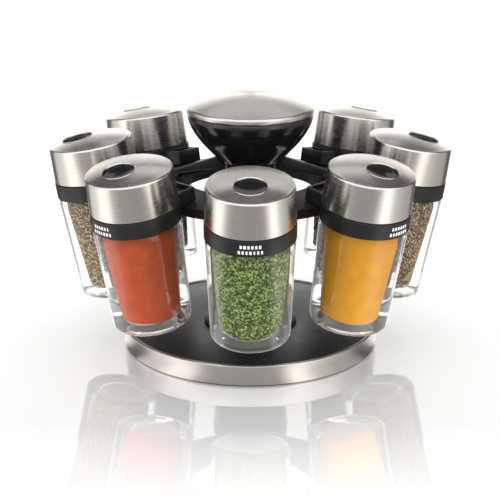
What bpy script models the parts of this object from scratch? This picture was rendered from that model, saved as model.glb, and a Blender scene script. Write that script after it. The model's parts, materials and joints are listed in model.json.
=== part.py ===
"""Spice carousel: a turntable base, a spinning frame and eight glass jars that lean outwards.

Metres, +Z up. The origin is on the table under the centre of the base, and jar 1 faces -Y.
A jar's own frame has its origin under its glass, +Z along the jar and -Y away from the column.
"""

import math

import bmesh
import bpy
from mathutils import Matrix, Vector

GAP = 0.0003  # between pieces that touch or slide on each other
SEAT_GAP = 0.0004  # under a piece that rests on another
MERGE = 1e-6
WIDE_SIDES, SLIM_SIDES, PIN_SIDES = 24, 16, 12  # sides of a turned piece; the first suits the eight jars

# Spindle and its bearing
SPINDLE_RADIUS = 0.005
SPINDLE_FOOT, SPINDLE_TIP = 0.0016, 0.001  # its lower end, and from there to the clip's groove
SPINDLE_FLANGE_WIDTH, SPINDLE_FLANGE_THICKNESS = 0.0062, 0.0014
FLANGE_CLEARANCE = 0.0012  # from the flange to the column's recess
CLIP_GROOVE_DEPTH = 0.001
CLIP_REACH, CLIP_THICKNESS, CLIP_MOUTH = 0.0024, 0.0008, 0.0044
BUSH_WALL, BUSH_FLANGE_WIDTH, BUSH_FLANGE = 0.0037, 0.0025, 0.001
WASHER_THICKNESS = 0.0007

# Base
BASE_RADIUS = 0.078
BASE_HEIGHT = 0.013
RIM_WALL = 0.0012
RIM_EDGE = 0.0008  # rounding of the rim's upper edge
RIM_LIP = 0.0022  # how far the rim turns in over the tray
TRAY_LIFT = 0.001  # the tray's height over the table
TRAY_FLOOR = 0.0028
TRAY_WALL = 0.0029
TOP_PLATE_THICKNESS = 0.0025
TOP_PLATE_DROP = 0.0006  # how far the plate lies under the rim's edge
FOOT_RING_INSET, FOOT_RING_WIDTH, FOOT_RING_THICKNESS = 0.008, 0.010, 0.0019
BOSS_WALL = 0.004
BALLAST_BOSS_ROOM, BALLAST_SIDE_ROOM, BALLAST_HEADROOM = 0.007, 0.0056, 0.0006

# Column
COLUMN_RADIUS = 0.0133
COLUMN_WALL = 0.0028
COLUMN_WEB = 0.0036
FOOT_FLARE_WIDTH, FOOT_FLARE_HEIGHT, FOOT_EDGE = 0.0152, 0.020, 0.0014
FLARE_LOW_PULL, FLARE_HIGH_PULL = (0.58, 0.1), (1.0, 0.4)  # shares of the foot's and column's radius, and of height
FLARE_STEPS = 4

# Jars
JAR_COUNT = 8
JAR_TILT = math.radians(9.65)
JAR_CIRCLE = 0.0804  # from the column's axis to the middle of a jar's underside
JAR_LIFT = 0.0213  # from the rim of the base to the middle of a jar's underside
GLASS_RADIUS, GLASS_HEIGHT, GLASS_TAPER = 0.0254, 0.0626, 0.0026
GLASS_FOOT_EDGE, GLASS_SHOULDER = 0.0025, 0.001
GLASS_BASE = 0.0036
GLASS_WALL, GLASS_FOOT_WALL = 0.0066, 0.0086
NECK_WALL = 0.0027
NECK_HEADROOM = 0.0069  # from the neck's rim up to the cap's shoulder
COLLAR_STEP, COLLAR_HEIGHT = 0.0004, 0.0096  # the first is how far it stands out over the glass
SNAP_RIM_CLEARANCE, SNAP_RIM_HEIGHT = 0.0007, 0.003
CAP_STEP, CAP_TAPER, CAP_SKIRT, CAP_WALL = 0.0003, 0.0005, 0.0200, 0.0009
CAP_EDGE, CAP_CROWN = 0.0014, 0.0032
APERTURE_RADIUS, APERTURE_OFFSET = 0.009, 0.0072
SIFTER_WALL, SIFTER_SKIRT_DEPTH, SIFTER_SKIRT_WALL = 0.0033, 0.0043, 0.0018
DISH_MARGIN, DISH_DEPTH = 0.001, 0.0018  # the first is from the dish to the aperture's edge
SPRINKLE_COUNT, SPRINKLE_RADIUS, SPRINKLE_SPREAD = 5, 0.0012, 0.0031
STATION_TURN = math.radians(180)  # from the closed station to the sprinkling holes
SPICE_RISE = 0.0034  # how far the spice stands up in the neck

# Lug of a collar and the tongue that carries it
LUG_WIDTH, LUG_DEPTH, LUG_DROP, LUG_WALL = 0.017, 0.013, 0.0013, 0.0017
TONGUE_CLEARANCE = 0.0004
TONGUE_DROP = 0.0023  # from the lug's top down to the tongue's
TONGUE_ROOT = 0.0015  # how deep the tongue stands in the ring
TONGUE_OUTER_WALL = 0.0034  # from the collar's outside to the lug's pocket

# Frame of the rotor
RING_DEPTH, RING_WALL, RING_MARGIN, RING_PAD_ROOM = 0.0097, 0.0025, 0.0009, 0.00363
HUB_WALL, HUB_HEIGHT, HUB_RISE, HUB_FLOOR = 0.0032, 0.0147, 0.0068, 0.0077
ARM_COUNT = 4
ARM_THICKNESS, ARM_CREST_REACH, ARM_ROOT_DROP = 0.004, 0.0037, 0.00184
ARM_TIP_HEIGHT, ARM_TIP_CLEARANCE = 0.0048, 0.0012
PAD_WIDTH, PAD_LENGTH, PAD_HEIGHT = 0.009, 0.0078, 0.0032
SCREW_RADIUS, SCREW_HEAD_RADIUS, SCREW_HEAD_HEIGHT = 0.0013, 0.0026, 0.0018

# Knob
BOWL_RADIUS, BOWL_HEIGHT, BOWL_WALL, BOWL_LIP = 0.0376, 0.0309, 0.003, 0.0022
BOWL_LOW_PULL, BOWL_HIGH_PULL = (0.42, 0.28), (0.94, 0.66)  # shares of the bowl's flare and of its height
BOWL_THROAT = 0.0009  # how much wider the bowl starts than its neck
BOWL_FLOOR = 0.0069
BOWL_STEPS = 5
KNOB_CAP_STEP, KNOB_CAP_RIM, KNOB_CAP_EDGE, KNOB_CAP_CROWN = 0.0007, 0.002, 0.0018, 0.0062
KNOB_CAP_WALL, KNOB_SPIGOT_WALL, KNOB_SPIGOT_DEPTH = 0.0013, 0.0014, 0.004
NUT_WALL, NUT_HEIGHT, THREAD_SPARE = 0.0042, 0.0042, 0.0012

# Radii that follow from the sizes above
SPINDLE_FLANGE_RADIUS = SPINDLE_RADIUS + SPINDLE_FLANGE_WIDTH
CLIP_RADIUS = SPINDLE_RADIUS + CLIP_REACH
CLIP_BAY_RADIUS = CLIP_RADIUS + 2 * GAP
BUSH_RADIUS = SPINDLE_RADIUS + GAP + BUSH_WALL
BUSH_FLANGE_RADIUS = BUSH_RADIUS + BUSH_FLANGE_WIDTH
NUT_RADIUS = SPINDLE_RADIUS + NUT_WALL
BOSS_RADIUS = BUSH_RADIUS + BOSS_WALL
TRAY_RADIUS = BASE_RADIUS - RIM_WALL - GAP
FOOT_RING_OUTER = BASE_RADIUS - FOOT_RING_INSET
FOOT_RING_INNER = FOOT_RING_OUTER - FOOT_RING_WIDTH
BALLAST_INNER = BOSS_RADIUS + BALLAST_BOSS_ROOM
BALLAST_OUTER = TRAY_RADIUS - TRAY_WALL - BALLAST_SIDE_ROOM
FOOT_FLARE_RADIUS = COLUMN_RADIUS + FOOT_FLARE_WIDTH
GLASS_FOOT_RADIUS = GLASS_RADIUS - GLASS_TAPER
CAVITY_RADIUS, CAVITY_FOOT_RADIUS = GLASS_RADIUS - GLASS_WALL, GLASS_FOOT_RADIUS - GLASS_FOOT_WALL
NECK_RADIUS = CAVITY_RADIUS + NECK_WALL
COLLAR_RADIUS = GLASS_RADIUS + COLLAR_STEP
CAP_RADIUS = COLLAR_RADIUS - CAP_STEP
CAP_TOP_RADIUS = CAP_RADIUS - CAP_TAPER
DISH_RADIUS = APERTURE_RADIUS - DISH_MARGIN
POCKET_OUTER = COLLAR_RADIUS + TONGUE_OUTER_WALL
POCKET_INNER = COLLAR_RADIUS + LUG_DEPTH - LUG_WALL
HUB_RADIUS = COLUMN_RADIUS + GAP + HUB_WALL
ARM_CREST_RADIUS = HUB_RADIUS + ARM_CREST_REACH
KNOB_CAP_RADIUS = BOWL_RADIUS + KNOB_CAP_STEP

# Heights that follow from the sizes above
PLATE_TOP = BASE_HEIGHT - TOP_PLATE_DROP
PLATE_UNDERSIDE = PLATE_TOP - TOP_PLATE_THICKNESS
TRAY_TOP = PLATE_UNDERSIDE - GAP
GROOVE_FOOT = SPINDLE_FOOT + SPINDLE_TIP
CLIP_FOOT = GROOVE_FOOT + GAP
CLIP_BAY_TOP = CLIP_FOOT + CLIP_THICKNESS
BUSH_FOOT = CLIP_BAY_TOP + GAP
BUSH_TOP = PLATE_UNDERSIDE + BUSH_FLANGE
FLANGE_UNDERSIDE = BUSH_TOP + GAP + WASHER_THICKNESS + GAP
COLUMN_SEAT = FLANGE_UNDERSIDE + SPINDLE_FLANGE_THICKNESS + GAP
COLUMN_FOOT = PLATE_TOP + SEAT_GAP
COLLAR_FOOT = GLASS_HEIGHT + GAP
COLLAR_TOP = COLLAR_FOOT + COLLAR_HEIGHT
CAP_FOOT = COLLAR_TOP + SEAT_GAP
CAP_SHOULDER = CAP_FOOT + CAP_SKIRT
NECK_TOP = CAP_SHOULDER - NECK_HEADROOM
LUG_FOOT = GLASS_HEIGHT
LUG_TOP = COLLAR_TOP - LUG_DROP


def jar_frame(number):
    """The placement of a jar's own frame. Jar 1 faces -Y, and the others follow anticlockwise."""
    turn = Matrix.Rotation(math.tau * (number - 1) / JAR_COUNT, 4, "Z")
    foot = Matrix.Translation((0, -JAR_CIRCLE, BASE_HEIGHT + JAR_LIFT))
    return turn @ foot @ Matrix.Rotation(JAR_TILT, 4, "X")


def meridian(inward, height):
    """The (radius, height) on the column's axis of a point in the middle plane of a jar's frame."""
    point = jar_frame(1) @ Vector((0, inward, height))
    return -point.y, point.z


def seat_height(radius):
    """The height at which a cone square to the jars lies under their lugs, at a radius."""
    lug_radius, lug_height = meridian(COLLAR_RADIUS, LUG_FOOT - SEAT_GAP)
    return lug_height + (lug_radius - radius) * math.tan(JAR_TILT)


RING_OUTER = meridian(POCKET_OUTER + TONGUE_CLEARANCE, LUG_FOOT)[0] + RING_MARGIN
ARM_REACH = meridian(COLLAR_RADIUS + LUG_DEPTH, LUG_FOOT)[0] - ARM_TIP_CLEARANCE
RING_INNER = ARM_REACH - PAD_LENGTH - RING_PAD_ROOM
SCREW_CIRCLE = ARM_REACH - PAD_LENGTH / 2
HUB_TOP = seat_height(RING_INNER) + HUB_RISE
HUB_FOOT = HUB_TOP - HUB_HEIGHT
COLUMN_TOP = HUB_FOOT - GAP
BOWL_RIM = HUB_TOP + 2 * GAP + BOWL_HEIGHT
BOWL_FLOOR_HEIGHT = HUB_TOP + 2 * GAP + BOWL_FLOOR


def arc(centre, radius, start, end, steps):
    """Points along an arc in the outline plane, with its angles in degrees from +radius to +height."""
    angles = [math.radians(start + (end - start) * i / steps) for i in range(steps + 1)]
    return [(centre[0] + radius * math.cos(a), centre[1] + radius * math.sin(a)) for a in angles]


def crown(edge_radius, edge_height, rise, steps):
    """Points of a shallow dome, from the axis out to its edge."""
    ball = (edge_radius**2 + rise**2) / (2 * rise)
    spread = math.degrees(math.asin(edge_radius / ball))
    return [(max(r, 0.0), z) for r, z in arc((0, edge_height + rise - ball), ball, 90, 90 - spread, steps)]


def bezier(corners, steps):
    """Points along a cubic curve given by its four corners."""
    points = []
    for i in range(steps + 1):
        t = i / steps
        weights = ((1 - t) ** 3, 3 * t * (1 - t) ** 2, 3 * t**2 * (1 - t), t**3)
        points.append(tuple(sum(w * c[k] for w, c in zip(weights, corners)) for k in (0, 1)))
    return points


def crossing(points, axis, value):
    """The point at which a rising outline reaches a radius (axis 0) or a height (axis 1)."""
    for start, end in zip(points, points[1:]):
        if start[axis] <= value <= end[axis]:
            share = (value - start[axis]) / (end[axis] - start[axis])
            return tuple(a + (b - a) * share for a, b in zip(start, end))
    return points[-1]


def bowl_outline():
    """The outside of the knob's bowl, from its neck up to its lip: a cone that bends upright."""
    throat = (COLUMN_RADIUS + BOWL_THROAT, HUB_TOP + 2 * GAP)
    flare = BOWL_RADIUS - throat[0]
    pulled = [(throat[0] + out * flare, throat[1] + up * BOWL_HEIGHT) for out, up in (BOWL_LOW_PULL, BOWL_HIGH_PULL)]
    return bezier([throat, *pulled, (BOWL_RADIUS, BOWL_RIM)], BOWL_STEPS)


def mesh_of(bm, name):
    """The bmesh as a mesh with smooth faces and sharp corners."""
    mesh = bpy.data.meshes.new(name)
    bmesh.ops.recalc_face_normals(bm, faces=bm.faces)
    bm.to_mesh(mesh)
    bm.free()
    mesh.shade_smooth()
    mesh.set_sharp_from_angle(angle=math.radians(30))
    return mesh


def turned(outline, steps, name="turned"):
    """A mesh made by turning (radius, height) points about Z. An outline that starts on the axis
    ends there too, and any other closes on itself."""
    bm = bmesh.new()
    points = [bm.verts.new((radius, 0, height)) for radius, height in outline]
    pairs = list(zip(points, points[1:]))
    if outline[0][0] > 0:
        pairs.append((points[-1], points[0]))
    edges = [bm.edges.new(pair) for pair in pairs]
    bmesh.ops.spin(bm, geom=points + edges, cent=(0, 0, 0), axis=(0, 0, 1),
                   angle=math.tau, steps=steps, use_merge=True)
    bmesh.ops.remove_doubles(bm, verts=bm.verts, dist=MERGE)
    return mesh_of(bm, name)


def slab(outline, width, name="slab"):
    """A mesh made by extruding an outline of (y, z) points along X, centred on X = 0."""
    bm = bmesh.new()
    face = bm.faces.new([bm.verts.new((-width / 2, y, z)) for y, z in outline])
    grown = bmesh.ops.extrude_face_region(bm, geom=[face])["geom"]
    moved = [item for item in grown if isinstance(item, bmesh.types.BMVert)]
    bmesh.ops.translate(bm, verts=moved, vec=(width, 0, 0))
    return mesh_of(bm, name)


def rod(radius, low, high, steps=SLIM_SIDES):
    """A plain round bar along Z."""
    return turned([(0, low), (radius, low), (radius, high), (0, high)], steps, "rod")


def moved(mesh, matrix):
    """A copy of a mesh in another place."""
    copy = mesh.copy()
    copy.transform(matrix)
    return copy


def combined(mesh, tools, operation):
    """The mesh after a Boolean UNION or DIFFERENCE with each tool in turn."""
    scene = bpy.context.scene.collection
    body = bpy.data.objects.new("body", mesh)
    scene.objects.link(body)
    helpers = []
    for tool in tools:
        helper = bpy.data.objects.new("tool", tool)
        helper.hide_render = True
        helper.display_type = "WIRE"
        scene.objects.link(helper)
        helpers.append(helper)
        modifier = body.modifiers.new(operation.lower(), "BOOLEAN")
        modifier.operation = operation
        modifier.solver = "EXACT"
        modifier.object = helper
    graph = bpy.context.evaluated_depsgraph_get()
    result = bpy.data.meshes.new_from_object(body.evaluated_get(graph))
    for helper in [body, *helpers]:
        bpy.data.objects.remove(helper)
    return result


def finish(name, colour, roughness, metallic=0.0, transmission=0.0):
    """A Principled material with plain values."""
    material = bpy.data.materials.new(name)
    material.use_nodes = True
    shader = material.node_tree.nodes["Principled BSDF"]
    shader.inputs["Base Color"].default_value = (*colour, 1)
    shader.inputs["Roughness"].default_value = roughness
    shader.inputs["Metallic"].default_value = metallic
    shader.inputs["Transmission Weight"].default_value = transmission
    material.diffuse_color = (*colour, 1)
    return material


def add(name, mesh, material, parent=None):
    """Puts a named piece into the scene, with its own material, under an empty if one is given."""
    piece = bpy.data.objects.new(name, mesh)
    if not mesh.materials:
        mesh.materials.append(None)
    piece.material_slots[0].link = "OBJECT"
    piece.material_slots[0].material = material
    piece.parent = parent
    bpy.context.scene.collection.objects.link(piece)
    return piece


def axis_empty(name, matrix):
    """An empty that stands for a joint's axis."""
    empty = bpy.data.objects.new(name, None)
    empty.matrix_world = matrix
    empty.empty_display_size = 0.01
    bpy.context.scene.collection.objects.link(empty)
    return empty


# ---------------------------------------------------------------- base


def foot_ring_mesh():
    """A flat rubber ring that stands on the table."""
    return turned([(FOOT_RING_INNER, 0), (FOOT_RING_OUTER, 0),
                   (FOOT_RING_OUTER, FOOT_RING_THICKNESS), (FOOT_RING_INNER, FOOT_RING_THICKNESS)], WIDE_SIDES)


def base_tray_mesh():
    """A shallow moulded dish with a groove for the foot ring and a boss for the bush."""
    outer = TRAY_RADIUS
    floor = TRAY_LIFT + TRAY_FLOOR
    groove = FOOT_RING_THICKNESS + GAP
    return turned([
        (CLIP_BAY_RADIUS, TRAY_LIFT), (FOOT_RING_INNER - GAP, TRAY_LIFT),
        (FOOT_RING_INNER - GAP, groove), (FOOT_RING_OUTER + GAP, groove),
        (FOOT_RING_OUTER + GAP, TRAY_LIFT), (outer, TRAY_LIFT),
        (outer, TRAY_TOP), (outer - TRAY_WALL, TRAY_TOP),
        (outer - TRAY_WALL, floor), (BOSS_RADIUS, floor),
        (BOSS_RADIUS, TRAY_TOP), (BUSH_RADIUS + GAP, TRAY_TOP),
        (BUSH_RADIUS + GAP, CLIP_BAY_TOP), (CLIP_BAY_RADIUS, CLIP_BAY_TOP),
    ], WIDE_SIDES)


def rim_band_mesh():
    """The steel band round the base, turned in over its upper edge."""
    inner = BASE_RADIUS - RIM_WALL
    edge = arc((BASE_RADIUS - RIM_EDGE, BASE_HEIGHT - RIM_EDGE), RIM_EDGE, 0, 90, 2)
    return turned([
        (inner, TRAY_LIFT), (BASE_RADIUS, TRAY_LIFT), *edge, (BASE_RADIUS - RIM_LIP, BASE_HEIGHT),
        (BASE_RADIUS - RIM_LIP, BASE_HEIGHT - RIM_WALL), (inner, BASE_HEIGHT - RIM_WALL),
    ], WIDE_SIDES)


def top_plate_mesh():
    """The satin plate that closes the base, with a hole round the bearing."""
    inner, outer = BUSH_FLANGE_RADIUS + 2 * GAP, BASE_RADIUS - RIM_LIP - GAP
    return turned([(inner, PLATE_UNDERSIDE), (outer, PLATE_UNDERSIDE),
                   (outer, PLATE_TOP), (inner, PLATE_TOP)], WIDE_SIDES)


def ballast_plate_mesh():
    """A flat iron ring that keeps the base on the table."""
    foot = TRAY_LIFT + TRAY_FLOOR + GAP
    top = PLATE_UNDERSIDE - BALLAST_HEADROOM
    return turned([(BALLAST_INNER, foot), (BALLAST_OUTER, foot), (BALLAST_OUTER, top), (BALLAST_INNER, top)],
                  WIDE_SIDES)


def spindle_bush_mesh():
    """The flanged bush in which the spindle turns."""
    bore = SPINDLE_RADIUS + GAP
    return turned([(bore, BUSH_FOOT), (BUSH_RADIUS, BUSH_FOOT), (BUSH_RADIUS, PLATE_UNDERSIDE),
                   (BUSH_FLANGE_RADIUS, PLATE_UNDERSIDE), (BUSH_FLANGE_RADIUS, BUSH_TOP), (bore, BUSH_TOP)],
                  SLIM_SIDES)


def thrust_washer_mesh():
    """The washer between the bush and the spindle's flange."""
    foot = BUSH_TOP + GAP
    bore = SPINDLE_RADIUS + 2 * GAP
    return turned([(bore, foot), (BUSH_FLANGE_RADIUS, foot), (BUSH_FLANGE_RADIUS, foot + WASHER_THICKNESS),
                   (bore, foot + WASHER_THICKNESS)], SLIM_SIDES)


# ---------------------------------------------------------------- rotor


def spindle_mesh():
    """The steel rod that ties knob, hub and column together and turns in the base."""
    groove_radius = SPINDLE_RADIUS - CLIP_GROOVE_DEPTH
    groove_top = GROOVE_FOOT + CLIP_THICKNESS + 2 * GAP
    flange_top = FLANGE_UNDERSIDE + SPINDLE_FLANGE_THICKNESS
    top = BOWL_FLOOR_HEIGHT + GAP + NUT_HEIGHT + THREAD_SPARE
    return turned([
        (0, SPINDLE_FOOT), (SPINDLE_RADIUS, SPINDLE_FOOT), (SPINDLE_RADIUS, GROOVE_FOOT),
        (groove_radius, GROOVE_FOOT), (groove_radius, groove_top), (SPINDLE_RADIUS, groove_top),
        (SPINDLE_RADIUS, FLANGE_UNDERSIDE), (SPINDLE_FLANGE_RADIUS, FLANGE_UNDERSIDE),
        (SPINDLE_FLANGE_RADIUS, flange_top), (SPINDLE_RADIUS, flange_top), (SPINDLE_RADIUS, top), (0, top),
    ], SLIM_SIDES)


def retaining_clip_mesh():
    """The open spring ring in the spindle's groove."""
    bore = SPINDLE_RADIUS - CLIP_GROOVE_DEPTH + GAP
    top = CLIP_FOOT + CLIP_THICKNESS
    ring = turned([(bore, CLIP_FOOT), (CLIP_RADIUS, CLIP_FOOT), (CLIP_RADIUS, top), (bore, top)], SLIM_SIDES)
    reach, low, high = 2 * CLIP_RADIUS, CLIP_FOOT - CLIP_THICKNESS, top + CLIP_THICKNESS
    mouth = slab([(0, low), (reach, low), (reach, high), (0, high)], CLIP_MOUTH)
    return combined(ring, [mouth], "DIFFERENCE")


def column_mesh():
    """The hollow column with its flared foot and a web at each end of its bore."""
    bore = SPINDLE_RADIUS + GAP
    hollow = COLUMN_RADIUS - COLUMN_WALL
    flare_foot = COLUMN_FOOT + FOOT_EDGE
    low, high = FLARE_LOW_PULL, FLARE_HIGH_PULL
    flare = bezier([
        (FOOT_FLARE_RADIUS, flare_foot), (low[0] * FOOT_FLARE_RADIUS, flare_foot + low[1] * FOOT_FLARE_HEIGHT),
        (high[0] * COLUMN_RADIUS, flare_foot + high[1] * FOOT_FLARE_HEIGHT),
        (COLUMN_RADIUS, flare_foot + FOOT_FLARE_HEIGHT),
    ], FLARE_STEPS)
    recess = SPINDLE_FLANGE_RADIUS + FLANGE_CLEARANCE
    return turned([
        (bore, COLUMN_SEAT), (recess, COLUMN_SEAT), (recess, COLUMN_FOOT), (FOOT_FLARE_RADIUS, COLUMN_FOOT),
        *flare, (COLUMN_RADIUS, COLUMN_TOP), (bore, COLUMN_TOP), (bore, COLUMN_TOP - COLUMN_WEB),
        (hollow, COLUMN_TOP - COLUMN_WEB), (hollow, COLUMN_SEAT + COLUMN_WEB), (bore, COLUMN_SEAT + COLUMN_WEB),
    ], WIDE_SIDES)


def arm_outline():
    """The side view of an arm: under the bowl, along to the ring and back underneath."""
    underside = bowl_outline()
    root = (COLUMN_RADIUS + HUB_RADIUS) / 2
    shave = 2 * GAP
    crest = crossing(underside, 0, ARM_CREST_RADIUS)[1] - shave
    lift = 2 * GAP
    return [
        (root, crossing(underside, 0, root)[1] - shave),
        (ARM_CREST_RADIUS, crest),
        (ARM_REACH, seat_height(ARM_REACH) + ARM_TIP_HEIGHT),
        (ARM_REACH, seat_height(ARM_REACH) + lift),
        (RING_INNER, seat_height(RING_INNER) + lift),
        (root, HUB_TOP - ARM_ROOT_DROP),
    ]


def pad_outline():
    """The side view of the pad by which an arm stands on the ring."""
    outer = ARM_REACH - GAP
    inner = outer - PAD_LENGTH
    return [(inner, seat_height(inner) + GAP), (outer, seat_height(outer) + GAP),
            (outer, seat_height(outer) + PAD_HEIGHT), (inner, seat_height(inner) + PAD_HEIGHT)]


def hub_spider_mesh():
    """The hub with its four blade-shaped arms, which carries the knob's neck and the ring."""
    bore, socket = SPINDLE_RADIUS + GAP, COLUMN_RADIUS + GAP
    hub = turned([(bore, HUB_FOOT), (HUB_RADIUS, HUB_FOOT), (HUB_RADIUS, HUB_TOP), (socket, HUB_TOP),
                  (socket, HUB_FOOT + HUB_FLOOR), (bore, HUB_FOOT + HUB_FLOOR)], SLIM_SIDES)
    arm = slab([(-r, z) for r, z in arm_outline()], ARM_THICKNESS)
    pad = slab([(-r, z) for r, z in pad_outline()], PAD_WIDTH)
    low = seat_height(SCREW_CIRCLE) - PAD_HEIGHT
    hole = moved(rod(SCREW_RADIUS + GAP, low, screw_tip() + GAP, PIN_SIDES),
                 Matrix.Translation((0, -SCREW_CIRCLE, 0)))
    turns = [Matrix.Rotation(math.tau * i / ARM_COUNT, 4, "Z") for i in range(ARM_COUNT)]
    spider = combined(hub, [moved(shape, turn) for turn in turns for shape in (arm, pad)], "UNION")
    return combined(spider, [moved(hole, turn) for turn in turns], "DIFFERENCE")


def screw_tip():
    """The height of an arm screw's tip, inside the pad."""
    return seat_height(SCREW_CIRCLE) + PAD_HEIGHT - 3 * GAP


def tongue_mesh():
    """An upright tongue, in a jar's frame, rooted in the ring's top wall."""
    foot = LUG_FOOT - SEAT_GAP - TONGUE_ROOT
    top = LUG_TOP - TONGUE_DROP
    outer, inner = POCKET_OUTER + TONGUE_CLEARANCE, POCKET_INNER - TONGUE_CLEARANCE
    width = LUG_WIDTH - 2 * LUG_WALL - 2 * TONGUE_CLEARANCE
    return slab([(outer, foot), (inner, foot), (inner, top), (outer, top)], width)


def carrier_ring_mesh():
    """The ring under the lugs, open underneath, with a tongue for each jar."""
    foot = seat_height(RING_INNER) - RING_DEPTH
    outer_wall, inner_wall = RING_OUTER - RING_WALL, RING_INNER + RING_WALL
    ring = turned([
        (RING_INNER, foot), (inner_wall, foot), (inner_wall, seat_height(inner_wall) - RING_WALL),
        (outer_wall, seat_height(outer_wall) - RING_WALL), (outer_wall, foot), (RING_OUTER, foot),
        (RING_OUTER, seat_height(RING_OUTER)), (RING_INNER, seat_height(RING_INNER)),
    ], WIDE_SIDES)
    tongues = [moved(tongue_mesh(), jar_frame(i + 1)) for i in range(JAR_COUNT)]
    top = seat_height(SCREW_CIRCLE)
    hole = moved(rod(SCREW_RADIUS + GAP, top - 2 * RING_WALL, top + RING_WALL, PIN_SIDES),
                 Matrix.Translation((0, -SCREW_CIRCLE, 0)))
    holes = [moved(hole, Matrix.Rotation(math.tau * i / ARM_COUNT, 4, "Z")) for i in range(ARM_COUNT)]
    return combined(combined(ring, tongues, "UNION"), holes, "DIFFERENCE")


def arm_screw_mesh():
    """A screw from under the ring into an arm's pad, with its own axis at the origin."""
    head_top = seat_height(SCREW_CIRCLE + SCREW_HEAD_RADIUS) - RING_WALL - GAP
    return turned([
        (0, head_top - SCREW_HEAD_HEIGHT), (SCREW_HEAD_RADIUS, head_top - SCREW_HEAD_HEIGHT),
        (SCREW_HEAD_RADIUS, head_top), (SCREW_RADIUS, head_top), (SCREW_RADIUS, screw_tip()), (0, screw_tip()),
    ], PIN_SIDES)


def knob_bowl_mesh():
    """The hollow bowl under the knob's cap, with a neck that stands in the hub."""
    bore = SPINDLE_RADIUS + GAP
    neck_foot = HUB_FOOT + HUB_FLOOR + GAP
    outside = bowl_outline()
    floor_radius = crossing(outside, 1, BOWL_FLOOR_HEIGHT)[0]
    inside = [(r - BOWL_WALL, z) for r, z in reversed(outside) if z > BOWL_FLOOR_HEIGHT + GAP]
    lip = BOWL_RIM + BOWL_LIP
    return turned([
        (bore, neck_foot), (COLUMN_RADIUS, neck_foot), (COLUMN_RADIUS, HUB_TOP + GAP), *outside,
        (BOWL_RADIUS - BOWL_WALL / 4, lip), (BOWL_RADIUS - BOWL_WALL, lip), *inside,
        (floor_radius - BOWL_WALL, BOWL_FLOOR_HEIGHT), (bore, BOWL_FLOOR_HEIGHT),
    ], WIDE_SIDES)


def knob_nut_mesh():
    """The hexagon nut that clamps the rotor together on the spindle."""
    foot = BOWL_FLOOR_HEIGHT + GAP
    bore = rod(SPINDLE_RADIUS + GAP, foot - NUT_HEIGHT, foot + 2 * NUT_HEIGHT)
    return combined(rod(NUT_RADIUS, foot, foot + NUT_HEIGHT, 6), [bore], "DIFFERENCE")


def knob_cap_mesh():
    """The domed steel cap of the knob, with a round edge and a spigot inside the bowl."""
    foot = BOWL_RIM + BOWL_LIP + GAP
    shoulder = foot + KNOB_CAP_RIM
    edge = arc((KNOB_CAP_RADIUS - KNOB_CAP_EDGE, shoulder), KNOB_CAP_EDGE, 0, 80, 2)
    top = crown(edge[-1][0], edge[-1][1], KNOB_CAP_CROWN, 4)
    spigot_foot = foot - KNOB_SPIGOT_DEPTH
    spigot = crossing(bowl_outline(), 1, spigot_foot)[0] - BOWL_WALL - GAP
    spigot_inner = spigot - KNOB_SPIGOT_WALL
    under = crown(spigot_inner, shoulder, KNOB_CAP_CROWN - KNOB_CAP_WALL / 2, 2)
    return turned([
        *top[:-1], *reversed(edge), (KNOB_CAP_RADIUS - GAP, foot), (spigot, foot),
        (spigot, spigot_foot), (spigot_inner, spigot_foot), *reversed(under),
    ], WIDE_SIDES)


# ---------------------------------------------------------------- jars, in a jar's own frame


def glass_mesh():
    """A thick tapering glass with a heavy base and a plain neck."""
    return turned([
        (0, 0), (GLASS_FOOT_RADIUS - GLASS_FOOT_EDGE, 0), (GLASS_FOOT_RADIUS, GLASS_FOOT_EDGE),
        (GLASS_RADIUS, GLASS_HEIGHT - 2 * GLASS_SHOULDER), (GLASS_RADIUS - GLASS_SHOULDER, GLASS_HEIGHT),
        (NECK_RADIUS, GLASS_HEIGHT), (NECK_RADIUS, NECK_TOP), (CAVITY_RADIUS, NECK_TOP),
        (CAVITY_RADIUS, GLASS_HEIGHT), (CAVITY_FOOT_RADIUS, GLASS_BASE), (0, GLASS_BASE),
    ], SLIM_SIDES)


def spice_mesh():
    """The spice that fills a jar, as one plain body."""
    bore = CAVITY_RADIUS - GAP
    top = GLASS_HEIGHT + SPICE_RISE
    return turned([(0, GLASS_BASE + GAP), (CAVITY_FOOT_RADIUS - GAP, GLASS_BASE + GAP),
                   (bore, GLASS_HEIGHT), (bore, top), (0, top)], SLIM_SIDES)


def collar_mesh():
    """The band round the neck, with a rim that the cap snaps over and a lug with a pocket."""
    bore = NECK_RADIUS + GAP
    snap = CAP_RADIUS - CAP_WALL - SNAP_RIM_CLEARANCE
    band = turned([
        (bore, COLLAR_FOOT), (COLLAR_RADIUS, COLLAR_FOOT), (COLLAR_RADIUS, COLLAR_TOP), (snap, COLLAR_TOP),
        (snap, COLLAR_TOP + SNAP_RIM_HEIGHT), (bore, COLLAR_TOP + SNAP_RIM_HEIGHT),
    ], SLIM_SIDES)
    root = (bore + COLLAR_RADIUS) / 2
    reach = COLLAR_RADIUS + LUG_DEPTH
    block = slab([(root, LUG_FOOT), (reach, LUG_FOOT), (reach, LUG_TOP), (root, LUG_TOP)], LUG_WIDTH)
    pocket = slab([(POCKET_OUTER, LUG_FOOT - LUG_WALL), (POCKET_INNER, LUG_FOOT - LUG_WALL),
                   (POCKET_INNER, LUG_TOP + LUG_WALL), (POCKET_OUTER, LUG_TOP + LUG_WALL)],
                  LUG_WIDTH - 2 * LUG_WALL)
    return combined(combined(band, [block], "UNION"), [pocket], "DIFFERENCE")


def cap_crown(drop):
    """The outline of a cap's crown from the axis to its shoulder, or of one set `drop` inside it."""
    return crown(CAP_TOP_RADIUS - CAP_EDGE - drop, CAP_SHOULDER + CAP_EDGE - drop, CAP_CROWN, 2)


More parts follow.
